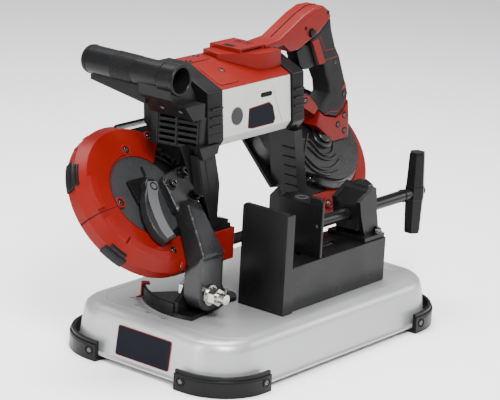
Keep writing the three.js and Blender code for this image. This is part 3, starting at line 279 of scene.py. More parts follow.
def floor_paint():
    """Matt white paper roll, almost even."""
    surface = Surface("floor_paint", (0.97, 0.97, 0.97), 0.8, specular=0.1)
    surface.mottle(surface.noise(2, 2), 0.01)
    return surface.bump(surface.noise(400, 2), 0.02, 0.2).material


RED = moulded("red_plastic", (0.13, 0.0045, 0.0028), 0.36)
BLACK = moulded("black_plastic", (0.005, 0.0051, 0.0055), 0.34)
# Near-black for the seam lines and the motor's slot border, and for painted shade: thin dark discs, strips
# and patches laid where screw pockets, grooves, slots and openings fall into shade.
SHADE_AND_LINE_BLACK = moulded("painted_shade_and_line_black", (0.003, 0.003, 0.0035), 0.6, specular=0.1)
WHITE = moulded("light_grey_plastic", (0.4, 0.4, 0.383), 0.36, 0.03)
GREY_INLAY = moulded("grey_inlay", (0.08, 0.082, 0.084), 0.38, 0.03)
DARK_INLAY = moulded("dark_grey_inlay", (0.028, 0.0285, 0.03), 0.38, 0.03)
BASE_PAINT = metallic_paint("silver_paint", (0.35, 0.355, 0.355))
VISE_PAINT = powder_coat("black_powder_coat", (0.005, 0.005, 0.0054), 0.3)
CASTING = die_casting("dark_casting", (0.012, 0.0122, 0.013), 0.32)
FRAME_CASTING = die_casting("frame_casting", (0.0035, 0.0036, 0.0038), 0.4, specular=0.15)
# The frame casting painted a lighter grey for the disc inside the guard: a painted sheen on the otherwise
# near-black frame.
DISC_SHEEN_GREY = die_casting("disc_casting_painted_sheen", (0.03, 0.0305, 0.032), 0.3)
COVER = die_casting("gear_cover_casting", (0.008, 0.0082, 0.0087), 0.3, specular=0.5)
DECK = die_casting("machined_casting", (0.03, 0.0305, 0.032), 0.38)
GRIP = soft_rubber("grip_rubber", (0.01, 0.01, 0.0107), 0.58)
TYRE = soft_rubber("tyre_rubber", (0.008, 0.008, 0.008), 0.8)
ZINC = plated("zinc_plate", (0.42, 0.415, 0.39), 0.24)
OXIDE = plated("black_oxide", (0.09, 0.09, 0.093), 0.26)
BLADE_STEEL = ground_steel("blade_steel", (0.42, 0.43, 0.45), 0.3, (0.05, 1, 1))
GEAR_STEEL = ground_steel("gear_steel", (0.4, 0.4, 0.4), 0.34, (1, 1, 0.1))
ALUMINIUM = ground_steel("turned_aluminium", (0.6, 0.61, 0.62), 0.36, (0.2, 1, 1))
NAVY = printed("label_navy", (0.0022, 0.0028, 0.0065))
LABEL_RED = printed("label_red", (0.14, 0.005, 0.003))
INK = printed("scale_ink", (0.02, 0.02, 0.022))


# ---------------------------------------------------------------- mesh building
class Build:
    """Collects closed solids in one mesh, each given in a local millimetre frame."""

    def __init__(self):
        self.mesh = bmesh.new()

    def rings(self, place, rings, looped=False):
        """A skin over rings of points, closed by a cap at each end unless it runs round a loop."""
        rows = [[self.mesh.verts.new(place @ Vector(point)) for point in ring] for ring in rings]
        pairs = list(zip(rows, rows[1:] + (rows[:1] if looped else [])))
        for low, high in pairs:
            for i in range(len(low)):
                j = (i + 1) % len(low)
                self.mesh.faces.new((low[i], low[j], high[j], high[i]))
        if not looped:
            self.mesh.faces.new(list(reversed(rows[0])))
            self.mesh.faces.new(rows[-1])
        return self

    def prism(self, place, outline, low, high):
        return self.rings(place, [[(x, y, z) for x, y in outline] for z in (low, high)])

    def slab(self, place, x0, x1, y0, y1, low, high):
        return self.prism(place, [(x0, y0), (x1, y0), (x1, y1), (x0, y1)], low, high)

    def turned(self, place, profile, sides=24):
        """A solid of revolution about the local z axis; each profile point is (radius, height)."""
        rings = [
            [(radius * math.cos(t), radius * math.sin(t), height) for t in turn_angles(sides)]
            for radius, height in profile
        ]
        return self.rings(place, rings)

    def arc(self, place, section, start, end, steps):
        """A section of (radius, height) points carried round an arc, in degrees, about the local z axis."""
        rings = []
        for k in range(steps + 1):
            angle = math.radians(start + (end - start) * k / steps)
            rings.append([(r * math.cos(angle), r * math.sin(angle), h) for r, h in section])
        return self.rings(place, rings)

    def hoop(self, place, section, sides=48):
        """A ring: a section of (radius, height) points carried right round the local z axis."""
        rings = [[(r * math.cos(t), r * math.sin(t), h) for r, h in section] for t in turn_angles(sides)]
        return self.rings(place, rings, looped=True)

    def band(self, place, radius, width, low, high, sides=48):
        """A flat hoop of this mean radius and width between two heights."""
        inner, outer = radius - width / 2, radius + width / 2
        return self.hoop(place, [(inner, low), (outer, low), (outer, high), (inner, high)], sides)

    def path(self, place, points, width, low, high):
        """A raised strip of constant width along a line of points in the local xy plane."""
        left, right = [], []
        for i, (x, y) in enumerate(points):
            before = Vector(points[max(0, i - 1)])
            after = Vector(points[min(len(points) - 1, i + 1)])
            along = (after - before).normalized()
            aside = Vector((-along.y, along.x)) * (width / 2)
            left.append((x + aside.x, y + aside.y))
            right.append((x - aside.x, y - aside.y))
        return self.prism(place, left + right[::-1], low, high)

    def finish(self, name, material, body, bevel):
        """Makes the mesh an object with this material, its edges rounded, and fixes it to a body."""
        bmesh.ops.recalc_face_normals(self.mesh, faces=self.mesh.faces[:])
        data = bpy.data.meshes.new(name)
        self.mesh.to_mesh(data)
        self.mesh.free()
        item = bpy.data.objects.new(name, data)
        bpy.context.scene.collection.objects.link(item)
        data.materials.append(material)
        soften(item, bevel)
        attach(item, body)


def turn_angles(sides):
    """Evenly spaced angles once round, in radians."""
    return [2 * math.pi * k / sides for k in range(sides)]


def polygon(radius, sides):
    """A regular polygon round the origin."""
    return [(radius * math.cos(t), radius * math.sin(t)) for t in turn_angles(sides)]


def arc_points(x, y, radius, start, end, steps):
    """Points along an arc round (x, y), between two angles in degrees."""
    angles = [math.radians(start + (end - start) * k / steps) for k in range(steps + 1)]
    return [(x + radius * math.cos(a), y + radius * math.sin(a)) for a in angles]


def rounded(x0, x1, y0, y1, radius, steps=4):
    """The outline of a rectangle with rounded corners."""
    corners = [(x1 - radius, y1 - radius, 0), (x0 + radius, y1 - radius, 90),
               (x0 + radius, y0 + radius, 180), (x1 - radius, y0 + radius, 270)]
    return [p for x, y, start in corners for p in arc_points(x, y, radius, start, start + 90, steps)]


def smooth(points, steps=4):
    """A Catmull-Rom line through the points."""
    line = []
    padded = [points[0], *points, points[-1]]
    for p0, p1, p2, p3 in zip(padded, padded[1:], padded[2:], padded[3:]):
        for k in range(steps):
            t = k / steps
            line.append(tuple(0.5 * (2 * b + (c - a) * t + (2 * a - 5 * b + 4 * c - d) * t ** 2
                                     + (3 * b - a - 3 * c + d) * t ** 3)
                              for a, b, c, d in zip(p0, p1, p2, p3)))
    return line + [points[-1]]


def soften(item, width):
    """Rounds the hard edges and shades the rest smooth."""
    item.data.polygons.foreach_set("use_smooth", [True] * len(item.data.polygons))
    if width > 0:
        bevel = item.modifiers.new("edges", "BEVEL")
        bevel.width = width * MM
        bevel.segments = 2
        bevel.limit_method = "ANGLE"
        bevel.angle_limit = math.radians(EDGE_ANGLE)
        bevel.use_clamp_overlap = True
    flat = item.modifiers.new("flat_faces", "WEIGHTED_NORMAL")
    flat.mode = "FACE_AREA"
    flat.weight = 80


def dress(node, material, width):
    """Gives a CAD node its material, and rounds its edges with modifiers; its mesh stays as it is."""
    item = frame["nodes"][node]
    item.data.materials.clear()
    item.data.materials.append(material)
    weld = item.modifiers.new("weld", "WELD")
    weld.merge_threshold = 0.005 * MM
    soften(item, width)


def melt(node, material, voxel, rounds):
    """Gives a CAD casting its material and rounds every edge and corner softly, as a sand casting's are."""
    item = frame["nodes"][node]
    item.data.materials.clear()
    item.data.materials.append(material)
    remesh = item.modifiers.new("skin", "REMESH")
    remesh.mode = "VOXEL"
    remesh.voxel_size = voxel * MM
    remesh.use_smooth_shade = True
    relax = item.modifiers.new("relax", "SMOOTH")
    relax.factor = 0.5
    relax.iterations = rounds


def screw(build, place, radius, height):
    """A screw head with a chamfered rim and a hexagon socket."""
    socket = radius * 0.5
    profile = [(radius * 0.98, 0), (radius, 0.3), (radius, height - 0.5), (radius - 0.5, height),
               (socket, height), (socket, height * 0.3), (0.05, height * 0.3)]
    build.turned(place, profile, 18)


def disc(build, place, radius, top, sides=20):
    """A thin disc, sunk into the face below it; the rear handle lays these as painted shade in its pockets
    and holes.
    """
    build.turned(place, [(radius, -0.6), (radius, top), (0.05, top)], sides)


# ---------------------------------------------------------------- CAD nodes
def dress_nodes():
    """Every CAD node's material, and the width in mm that its edges are rounded by."""
    groups = [
        (BASE_PAINT, 1.2, "base_tray"),
        (BLACK, 1.0, "foot_right_far foot_left_far foot_left_near foot_right_near lock_knob spine_cover "
                     "motor_front_bezel motor_rear_bezel front_handle front_handle_bracket trigger "
                     "lock_button"),
        (BLACK, 0.6, "front_guide_post rear_guide_post vent_cap"),
        (OXIDE, 0.4, "arm_bolt_1 arm_bolt_2 arm_bolt_3"),
        (VISE_PAINT, 0.6, "vise_channel fixed_jaw movable_jaw swivel_bracket vise_handle tension_carriage"),
        (VISE_PAINT, 1.4, "nut_bracket"),
        (VISE_PAINT, 0.3, "vise_screw front_guide_block rear_guide_block"),
        (ZINC, 0.4, "swivel_post jaw_bolt pivot_bolt"),
        (RED, 1.0, "front_guard rear_guard front_lower_cover front_guide_cover rear_guide_cover"),
        (RED, 0.5, "swivel_pointer motor_top_shell battery_dock"),
        (RED, 1.0, "handle_top handle_base"),
        (CASTING, 0.8, "tension_lever"),
        (FRAME_CASTING, 0.8, "saw_frame"),
        (COVER, 1.6, "gear_cover"),
        (WHITE, 0.8, "motor_housing"),
        (GRIP, 1.0, "handle_grip"),
        (ALUMINIUM, 0.4, "idler_wheel drive_wheel"),
        (TYRE, 0.1, "idler_tyre drive_tyre"),
        (BLADE_STEEL, 0.0, "saw_blade"),
        (GEAR_STEEL, 0.15, "drive_shaft_gear middle_gear cross_shaft output_shaft motor_rotor "
                           "front_guide_roller rear_guide_roller"),
    ]
    for material, width, names in groups:
        for name in names.split():
            dress(name, material, width)
    melt("tilt_arm", CASTING, 1.5, 12)


# ---------------------------------------------------------------- base details
def base_label():
    """The plain label plate on the base's left wall, which leans with the wall."""
    lean = math.atan2(5, 36.5)
    place = facing("left", -205.2, 0, 13) @ Matrix.Rotation(-lean, 4, "X")
    border = Build().prism(place, rounded(-38, 42, 0, 35, 2.5), 0.2, 0.75)
    border.finish("base_label_border", LABEL_RED, "stand", 0.1)
    label = Build().prism(place, rounded(-37.2, 41.2, 0.8, 34.2, 2), 0.5, 0.95)
    label.finish("base_label", NAVY, "stand", 0.1)


def foot_screws():
    """A groove round the outside of each corner foot and two screws with rims on it; the groove and each
    screw's recess are drawn as painted shade.
    """
    reach_x, reach_y = 150, 71
    rims, painted_shade, heads = Build(), Build(), Build()
    for sx, sy, turn in ((1, 1, 0), (-1, 1, 90), (-1, -1, 180), (1, -1, 270)):
        corner = facing("up", sx * reach_x, sy * reach_y, 0) @ Matrix.Rotation(math.radians(turn), 4, "Z")
        for side in (-2, 92):
            spot = corner @ Matrix.Rotation(math.radians(side), 4, "Z") @ Matrix.Translation((66, 0, 12))
            out = spot @ Matrix.Rotation(math.pi / 2, 4, "Y")
            rims.hoop(out, [(4.8, -0.5), (6.2, -0.5), (5.9, 0.8), (5.1, 0.8)], 24)
            # painted shade: a dark disc in the bottom of the screw's recess
            painted_shade.turned(out, [(5.0, -0.5), (5.0, 0.2), (0.05, 0.2)], 20)
            screw(heads, out, 3.1, 0.7)
        # painted shade: a dark strip standing for the foot's groove
        painted_shade.arc(corner, [(65.8, 17.4), (66.3, 17.4), (66.3, 18.2), (65.8, 18.2)], 2, 88, 14)
    rims.finish("foot_screw_rims", BLACK, "stand", 0.2)
    painted_shade.finish("foot_painted_shade", SHADE_AND_LINE_BLACK, "stand", 0.1)
    heads.finish("foot_screws", OXIDE, "stand", 0.15)


def mitre_scale():
    """Printed ticks every degree and longer ones every five, with plain numbers every fifteen."""
    zero = 137
    ticks = Build()
    top = facing("up", *MITRE_CENTRE)
    for degree in range(MITRE_RANGE + 1):
        inner, outer = (94, 101) if degree % 5 == 0 else (94, 98)
        width = 0.5 if degree % 5 == 0 else 0.3
        place = top @ Matrix.Rotation(math.radians(zero + degree), 4, "Z")
        ticks.slab(place, inner, outer, -width / 2, width / 2, 0.01, 0.08)
    ticks.finish("mitre_ticks", INK, "stand", 0)
    for degree in range(0, MITRE_RANGE + 1, 15):
        curve = bpy.data.curves.new(f"mitre_number_{degree}", "FONT")
        curve.body = f"{degree}°"
        curve.size = 7 * MM
        curve.extrude = 0.04 * MM
        curve.align_x = "CENTER"
        curve.materials.append(INK)
        item = bpy.data.objects.new(curve.name, curve)
        bpy.context.scene.collection.objects.link(item)
        turn = Matrix.Rotation(math.radians(zero + degree), 4, "Z")
        spot = top @ turn @ Matrix.Translation((104, 0, 0.06)) @ Matrix.Rotation(math.pi / 2, 4, "Z")
        item.matrix_world = Matrix.LocRotScale(spot.to_translation(), spot.to_quaternion(), None)
        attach(item, "stand")


def base_emboss():
    """The raised step pressed into the top round the vise."""
    inner = rounded(-176, 176, -107, 104, 34, 8)
    outer = rounded(-178, 178, -109, 106, 36, 8)
    low, high = -0.3, 0.35
    loops = ((outer, 1, low), (inner, 1, high), (inner, 0.985, high), (inner, 0.98, low))
    rings = [[(x * share, y * share, z) for x, y in line] for line, share, z in loops]
    step = Build().rings(facing("up", 0, 0, BASE_TOP), rings, looped=True)
    step.finish("base_step", BASE_PAINT, "stand", 0.2)


def bracket_bolts():
    """The two hexagon bolts with washers that hold the nut bracket's foot."""
    build = Build()
    for y in (-80, -33.5):
        place = facing("up", 124.5, y, 117.3)
        build.turned(place, [(6.0, 0), (6.2, 0.3), (6.2, 1.2), (5.8, 1.5), (0.05, 1.5)], 24)
        build.prism(place, polygon(5.0, 6), 1.3, 5.4)
        build.turned(place, [(2.5, 5.2), (2.5, 6.8), (2.1, 7.2), (0.05, 7.2)], 16)
    build.finish("bracket_bolts", OXIDE, "stand", 0.25)


# ---------------------------------------------------------------- motor details
def motor_label():
    """The plain label, the grey disc, the dark slot and the fine panel line on the motor's near face."""
    def plate(inset):
        return [(-40 + inset, 4), (-37, 26.5 - inset), (0, 28.5 - inset), (6.5 - inset, 23),
                (10.5 - inset, 7), (7, 2 + inset), (-32, 2 + inset)]

    border = Build().prism(MOTOR_FACET, plate(0), -0.3, 0.35)
    border.finish("motor_label_border", LABEL_RED, "saw", 0.1)
    label = Build().prism(MOTOR_FACET, plate(0.9), 0.1, 0.5)
    label.finish("motor_label", NAVY, "saw", 0.1)
    spot = at(MOTOR_FACET, -58.5, 21)
    grey = Build().turned(spot, [(9.8, -0.4), (9.8, 0.25), (9.2, 0.45), (0.05, 0.45)], 36)
    grey.finish("motor_disc", DARK_INLAY, "saw", 0.15)
    dark = Build().prism(MOTOR_FACET, rounded(-15.4, 5.4, 35.4, 41, 2.6), -0.6, 0.25)
    dark.path(MOTOR_FACET, [(8, 45), (12, 30), (19, 12), (24, 0)], 0.5, -0.3, 0.06)
    dark.band(spot, 10.3, 0.6, -0.3, 0.1)
    dark.finish("motor_dark_lines", SHADE_AND_LINE_BLACK, "saw", 0.05)


def motor_top():
    """Raised panel, rib and screws on the red top shell, on both of its slopes, each screw on a dark disc of
    painted shade for its recess.
    """
    build, painted_shade, heads = Build(), Build(), Build()
    build.prism(MOTOR_SLOPE, rounded(-80, -44, 7, 45, 5), -0.5, 1.0)
    top = facing("up", 0, 0, MOTOR_TOP)
    build.prism(top, rounded(-84, -46, 50.5, 74.5, 5), -0.5, 1.3)
    for place in (at(MOTOR_SLOPE, -52.5, 31, 1.0), at(top, -79, 56, 1.3), at(top, -52, 68, 1.3)):
        # painted shade: a dark disc in each screw's recess, under its head
        painted_shade.turned(place, [(4.4, -0.6), (4.4, 0.2), (3.6, 0.2), (3.6, -0.2), (0.05, -0.2)], 20)
        screw(heads, place, 2.7, 0.7)
    build.finish("motor_top_panels", RED, "saw", 0.5)
    painted_shade.finish("motor_top_painted_shade", SHADE_AND_LINE_BLACK, "saw", 0.05)
    heads.finish("motor_top_screws", OXIDE, "saw", 0.1)


def bezel_details():
    """Grip ridges on the motor's two black end rings, and the screws in the rear one."""
    build = Build()
    for x, along in ((-99, 20), (51, 16)):
        for z in (262, 272, 282, 292):
            build.slab(facing("front", x, -7.2, z), -along / 2, along / 2, -0.9, 0.9, -1.6, 0.8)
    back = facing("back", 0, 92.5, 0)
    for z in (268, 277, 286, 295):
        build.slab(back, 90, 108, z - 1, z + 1, -1.5, 1.4)
        build.slab(back, -60, -44, z - 1, z + 1, -1.5, 1.4)
    build.finish("bezel_ridges", BLACK, "saw", 0.35)
    heads = Build()
    for y, z in ((6, 254), (84, 268), (84, 300), (12, 306)):
        screw(heads, facing("right", 62, y, z), 3.0, 1.4)
    heads.finish("bezel_screws", OXIDE, "saw", 0.15)


def motor_back():
    """Air slots in the motor's far face, drawn as dark bars of painted shade."""
    place = facing("back", 0, 89.5, 286)
    dark = Build()
    for row in range(5):
        for column in range(4):
            x = -24 + column * 17
            # painted shade: a dark bar where each slot's opening is shaded
            dark.prism(place, rounded(x, x + 13, row * 5.5 - 12, row * 5.5 - 9.6, 1.1, 3), -2.0, 1.2)
    dark.finish("motor_back_slot_shade", SHADE_AND_LINE_BLACK, "saw", 0.1)


def vent_frame():
    """The raised frame and bars between the front cap's slots."""
    bars, pitch, low, high = 6, 7, 2, 37
    build = Build()
    for row in range(bars):
        z = low + row * pitch
        build.slab(VENT_FACE, -56, -3, z - 0.7, z + 0.7, -0.6, 1.0)
    for left, right in ((-57, -55), (-32.4, -30.2), (-5, -3)):
        build.slab(VENT_FACE, left, right, low, high, -0.6, 1.2)
    build.finish("vent_frame", BLACK, "saw", 0.3)


# ---------------------------------------------------------------- front handle details
def collar(build, axis, depth, radius, foot, crest):
    """A low ring round the front handle; `foot` and `crest` are its half widths at its foot and its top."""
    tube = 16.2
    section = [(tube, depth - foot), (radius, depth - crest), (radius, depth + crest), (tube, depth + foot)]
    build.hoop(axis, section, 40)


def front_handle_details():
    """Ribs round the front handle, the lip of its open end, and the saddle's screws, each on a dark patch of
    painted shade for its pocket.
    """
    axis = facing("front", -150, 0, 330)
    build = Build()
    for k in range(14):
        collar(build, axis, -(68 + 2.4 * k), 17.0, 0.8, 0.45)
    for depth in (-29, -138):
        collar(build, axis, depth, 17.1, 1, 0.7)
    build.hoop(axis, [(14.4, -9), (17.7, -9), (17.9, -5.4), (17.2, -4.4), (15.2, -4.4), (14.4, -5.2)], 48)
    build.finish("front_handle_ribs", BLACK, "saw", 0.15)
    pocket_shade, heads = Build(), Build()
    for y in (31, 4):
        pocket = at(SADDLE_FACE, -y, 7)
        # painted shade: a dark patch for the screw's pocket
        pocket_shade.prism(pocket, rounded(-4.5, 4.5, -6, 9, 4.4, 6), -0.8, 0.25)
        screw(heads, at(pocket, 0, -1.5, 0.2), 2.8, 0.9)
    pocket_shade.finish("saddle_pocket_shade", SHADE_AND_LINE_BLACK, "saw", 0.1)
    heads.finish("saddle_screws", OXIDE, "saw", 0.15)


# ---------------------------------------------------------------- guards and wheels
def guard_details():
    """Screw bosses on both red guards with painted shade in their pockets, and the front guard's pads, ribs,
    split lines and bumpers.
    """
    centre = on_wheel(GUARD_U, GUARD_V, 0)
    bosses, painted_shade, heads = Build(), Build(), Build()
    for u, v in FRONT_GUARD_SCREWS + REAR_GUARD_SCREWS:
        place = on_wheel(u, v, GUARD_FACE)
        bosses.turned(place, [(7.2, -2), (6.6, 1.2), (6.0, 1.6), (4.6, 1.6), (4.6, 0.4), (0.05, 0.4)], 28)
        # painted shade: a dark disc in the bottom of the boss's pocket, under the screw
        painted_shade.turned(place, [(4.5, 0.2), (4.5, 0.5), (0.05, 0.5)], 20)
        screw(heads, at(place, 0, 0, 0.4), 3.0, 1.0)
    for start, end in ((152, 181), (190, 214), (216, 258)):
        bosses.arc(centre, [(70, 15), (83, 14.6), (84.5, 15.2), (81.5, 19.2), (73.5, 19.6)], start, end, 12)
    for angle in range(92, 150, 14):
        bosses.arc(centre, [(86, 8), (94.6, 2), (95.2, -5), (90, -6)], angle, angle + 3, 3)
    bosses.finish("guard_bosses", RED, "saw", 0.5)
    painted_shade.finish("guard_painted_shade", SHADE_AND_LINE_BLACK, "saw", 0.05)
    heads.finish("guard_screws", OXIDE, "saw", 0.15)
    seam = Build()
    split = [(50.5, 15.5), (84, 15.5), (94.2, 5), (94.2, -8),
             (94.6, -8), (94.6, 5.2), (84.2, 16.1), (50.5, 16.1)]
    seam.arc(centre, split, 183.6, 184.3, 1)
    seam.arc(centre, [(52.0, 15.7), (52.8, 15.7), (52.8, 16.2), (52.0, 16.2)], 86, 268, 48)
    seam.finish("guard_seams", SHADE_AND_LINE_BLACK, "saw", 0)
    bumpers = Build()
    section = [(88, -9), (95.8, -9), (97, -6), (97, 2.5), (95.6, 4.5), (90, 6.5)]
    for start, end in ((138, 160), (205, 223)):
        bumpers.arc(centre, section, start, end, 10)
        bumpers.arc(centre, [(90, 4), (94, 3.8), (93, 8.4), (89.4, 9.4)], start + 2, end - 2, 8)
    bumpers.finish("guard_bumpers", BLACK, "saw", 0.8)


def disc_details():
    """The disc inside the guard ring, open round the idler's axle, in a lighter grey that paints the frame's
    sheen; a dark patch of painted shade for a slot in it; and the ribs beside it.
    """
    slot_centre = (-151.3, WHEEL_V)
    slot_half = (11, 9.5)
    ring_radius = 50.2
    low, high = 12.4, 12.75
    plane = on_wheel(0, 0, 0)
    offset = Vector(slot_centre) - Vector((GUARD_U, GUARD_V))
    rings = []
    for t in turn_angles(72):
        ray = Vector((math.cos(t), math.sin(t)))
        inner = min(half / max(abs(part), 0.001) for half, part in zip(slot_half, ray))
        along = offset.dot(ray)
        outer = math.sqrt(along ** 2 + ring_radius ** 2 - offset.length_squared) - along
        section = ((inner, low), (outer, low), (outer, high), (inner, high))
        rings.append([(ray.x * radius, ray.y * radius, height) for radius, height in section])
    # painted sheen: the plate is a lighter grey than the frame casting it lies on
    plate = Build().rings(on_wheel(*slot_centre, 0), rings, looped=True)
    plate.finish("guard_disc_sheen", DISC_SHEEN_GREY, "saw", 0)
    dark = Build()
    # painted shade: a dark patch where the slot is shaded
    dark.prism(plane, [(-140.2, 109), (-135, 110), (-136, 98), (-141, 97.5)], 12.2, 12.85)
    dark.finish("disc_slot_shade", SHADE_AND_LINE_BLACK, "saw", 0)
    ribs = Build()
    ribs.path(plane, [(-114, 124), (-99, 110), (-88, 97.5)], 2.4, 12, 15)
    ribs.path(plane, [(-106, 129), (-90, 113), (-78, 98)], 2.4, 12, 15)
    ribs.path(plane, [(-70, 60), (-66, 85), (-66.5, 108), (-57, 122), (30, 122)], 2.2, 9, 14)
    for u, v in ((-97, 121), (-84, 104), (-20, 126), (30, 130)):
        ribs.turned(on_wheel(u, v, 12), [(4.4, 0), (4.2, 3.6), (2.2, 3.6), (2.2, 2), (0.05, 2)], 20)
    ribs.finish("disc_ribs", CASTING, "saw", 0.4)


def wheel_details():
    """A hub ring, six bolts and a turned ring on the open far side of each band wheel."""
    for body, u, bore in (("idler", IDLER_U, 12.6), ("drive", DRIVE_U, 15.5)):
        build = Build()
        place = at(on_wheel(u, WHEEL_V, 0), 0, 0, 0, 180, "Y")
        build.hoop(place, [(bore, 5.5), (17.4, 5.5), (17.0, 7.4), (14.6, 7.8)], 32)
        for angle in range(30, 390, 60):
            spoke = at(at(place, 0, 0, 0, angle), 24, 0, 1.6)
            build.turned(spoke, [(3, 0), (3, 1.6), (2.4, 2), (0.05, 2)], 6)
        build.band(place, 68, 2.4, 1.4, 2.8, 64)
        build.finish(f"{body}_wheel_hub", ZINC, body, 0.2)


def blade_teeth():
    """The teeth along the blade's cutting edge, made as one toothed strip over the straight run."""
    half_run, pitch, depth, root = 90, 2.5, 1.1, -0.35
    outline = []
    for k in range(int(2 * half_run / pitch)):
        x = k * pitch - half_run
        outline += [(x, root), (x + 0.4, root - depth), (x + pitch * 0.95, root)]
    outline += [(half_run, 1.2), (-half_run, 1.2)]
    strip = Build().prism(facing("front", 0, 8, 116.5), outline, -0.3, 0.3)
    strip.finish("blade_teeth", BLADE_STEEL, "saw", 0)


# ---------------------------------------------------------------- gear cover
def gear_cover_details():
    """The wave-shaped ridges on the gear cover's face with a strip of painted shade beside each for its
    groove, its boss, shoulder, ears and screws.
    """
    face = on_wheel(0, 0, COVER_FACE)
    waves = [
        [(121, 85), (129.3, 84.2), (135.3, 80.2), (138.5, 72.4), (141.1, 63.8), (147.5, 58.1), (156.2, 57.5),
         (165.8, 61), (173.3, 69.4)],
        [(117.8, 77.1), (126.6, 74.7), (131.2, 66.8), (136.3, 57.6), (145.3, 52.5), (156, 51), (168, 54)],
        [(113.2, 68.3), (116.1, 59.1), (121.5, 48.2), (129.6, 42), (143.6, 39.5), (156.6, 42), (168, 47)],
        [(108.4, 58.9), (112.2, 48), (119.6, 39.5), (130, 34.5), (143, 32.5), (156, 33.5)],
    ]
    ridges, groove_shade = Build(), Build()
    for wave in waves:
        line = smooth(wave)
        ridges.path(face, line, 2.5, -0.8, 2.2)
        # painted shade: a dark strip along each ridge, where its groove is shaded
        groove_shade.path(face, [(u + 1.6, v + 2.2) for u, v in line], 1.4, -0.5, 0.12)
    boss = [(15.4, -2), (15.2, 1.2), (13.6, 2.2), (10.6, 2.2), (10.2, 0.6), (9.4, 0.6),
            (9.4, 5.0), (8.4, 6.0), (0.05, 6.0)]
    ridges.turned(on_wheel(158, 81, COVER_FACE + 2.5), boss, 40)
    ridges.finish("gear_cover_ridges", COVER, "saw", 0.8)
    section = [(44, 13.2), (62.6, 13.2), (62.6, 19), (58, 25), (44, 26)]
    shoulder = Build().arc(on_wheel(DRIVE_U, 79, 0), section, -150, 38, 36)
    shoulder.finish("gear_cover_shoulder", COVER, "saw", 0.8)
    groove_shade.finish("gear_cover_groove_shade", SHADE_AND_LINE_BLACK, "saw", 0)
    ears, heads = Build(), Build()
    for u, v in ((116, 38), (196, 36), (210, 98), (150, 132), (62, 122)):
        place = on_wheel(u, v, FRAME_FACE + 0.3)
        ears.turned(place, [(6.2, 0), (5.8, 8), (5.2, 8.6), (3.6, 8.6), (3.6, 7.4), (0.05, 7.4)], 24)
        screw(heads, at(place, 0, 0, 7.4), 2.8, 1.0)
    ears.finish("gear_cover_ears", COVER, "saw", 0.4)
    heads.finish("gear_cover_screws", OXIDE, "saw", 0.12)


# ---------------------------------------------------------------- lever, arm and posts
def lever_details():
    """The light inlay along the tension lever, its black ribbed grip and the hub's ring."""
    face = on_wheel(0, 0, LEVER_FACE)
    inlay = Build()
    right = [(-145.4, 83), (-146.5, 76), (-155, 64), (-161, 45.3), (-162, 29), (-160, 17.8)]
    left = [(-158.5, 85.5), (-164, 77), (-170.5, 64), (-175, 43.8), (-176, 26), (-173, 15)]
    inlay.prism(face, smooth(right) + smooth(left)[::-1], -0.4, 0.7)
    inlay.finish("lever_inlay", GREY_INLAY, "lever", 0.3)
    hub = Build()
    hub.hoop(on_wheel(IDLER_U, WHEEL_V - 3, LEVER_FACE), [(3.6, -3), (5.4, -3), (5.4, 0.95), (3.6, 0.95)], 28)
    for k in range(7):
        v = 22 + 7 * k
        hub.slab(on_wheel(-164 - 1.2 * math.sin(k / 2), v, 24), -4.6, 0, -0.8, 0.8, -4, 5.6)
    hub.finish("lever_ribs", BLACK, "lever", 0.3)


def arm_details():
    """The machined face under the arm's bolts, and their collars."""
    pads = Build()
    deck = [(-128, 45.5), (-124.4, 84), (-118.6, 89), (-88.6, 93.6), (-82, 90), (-82, 57.5), (-99.5, 43.5)]
    pads.prism(on_wheel(0, 0, ARM_DECK), deck, -0.4, 0.35)
    pads.finish("arm_deck_face", DECK, "saw", 0.25)
    rings = Build()
    for u, v in ARM_BOLTS:
        rings.hoop(on_wheel(u, v, ARM_DECK + 0.3), [(5.2, -0.4), (7.2, -0.4), (6.6, 2.4), (5.2, 2.4)], 24)
    rings.finish("arm_bolt_collars", CASTING, "saw", 0.25)


def post_details():
    """Ladder ribs on the rear post's side wall, and the front post's rib, hood and gusset, with dark strips
    of painted shade for its grooves.
    """
    foot_x, foot_z, run, rise = 62, 150, 16, 90.6
    build = Build()
    for z in range(158, 219, 12):
        x = foot_x - (z - foot_z) * run / rise
        build.slab(facing("left", x, 4, z), -9, 9, -0.8, 0.8, -1, 1.6)
    for y in (-3, 14):
        wall = at(facing("left", foot_x, y, foot_z), 0, 0, 0, -math.degrees(math.atan2(run, rise)), "X")
        build.slab(wall, -0.9, 0.9, 4, 84, -1, 1.8)
    front = facing("front", 0, -6, 0)
    rib = [(-127, 238), (-119, 238), (-104.5, 190), (-102, 160), (-106, 172), (-117, 200)]
    hood = [(-132, 252), (-96, 252), (-99, 240.5), (-124, 236)]
    gusset = [(-143, 252), (-112, 252), (-108, 226), (-110, 196), (-121, 206), (-134, 236)]
    build.prism(front, rib, -0.6, 1.2)
    build.prism(front, hood, -6, 5)
    build.prism(facing("front", 0, 8, 0), gusset, -2, 0)
    build.finish("post_ribs", BLACK, "saw", 0.5)
    dark = Build()
    # painted shade: dark strips where the front post's grooves are shaded
    dark.path(front, [(-116, 236), (-104.5, 192), (-99, 158)], 1.5, -0.4, 0.15)
    dark.path(front, [(-94, 215), (-92, 180), (-93, 162)], 0.8, -0.4, 0.12)
    dark.finish("post_groove_shade", SHADE_AND_LINE_BLACK, "saw", 0)


# ---------------------------------------------------------------- rear handle
def mirrored(line, side):
    """The points as seen from the near side (1) or the far side (-1)."""
    return [(side * x, z) for x, z in line]


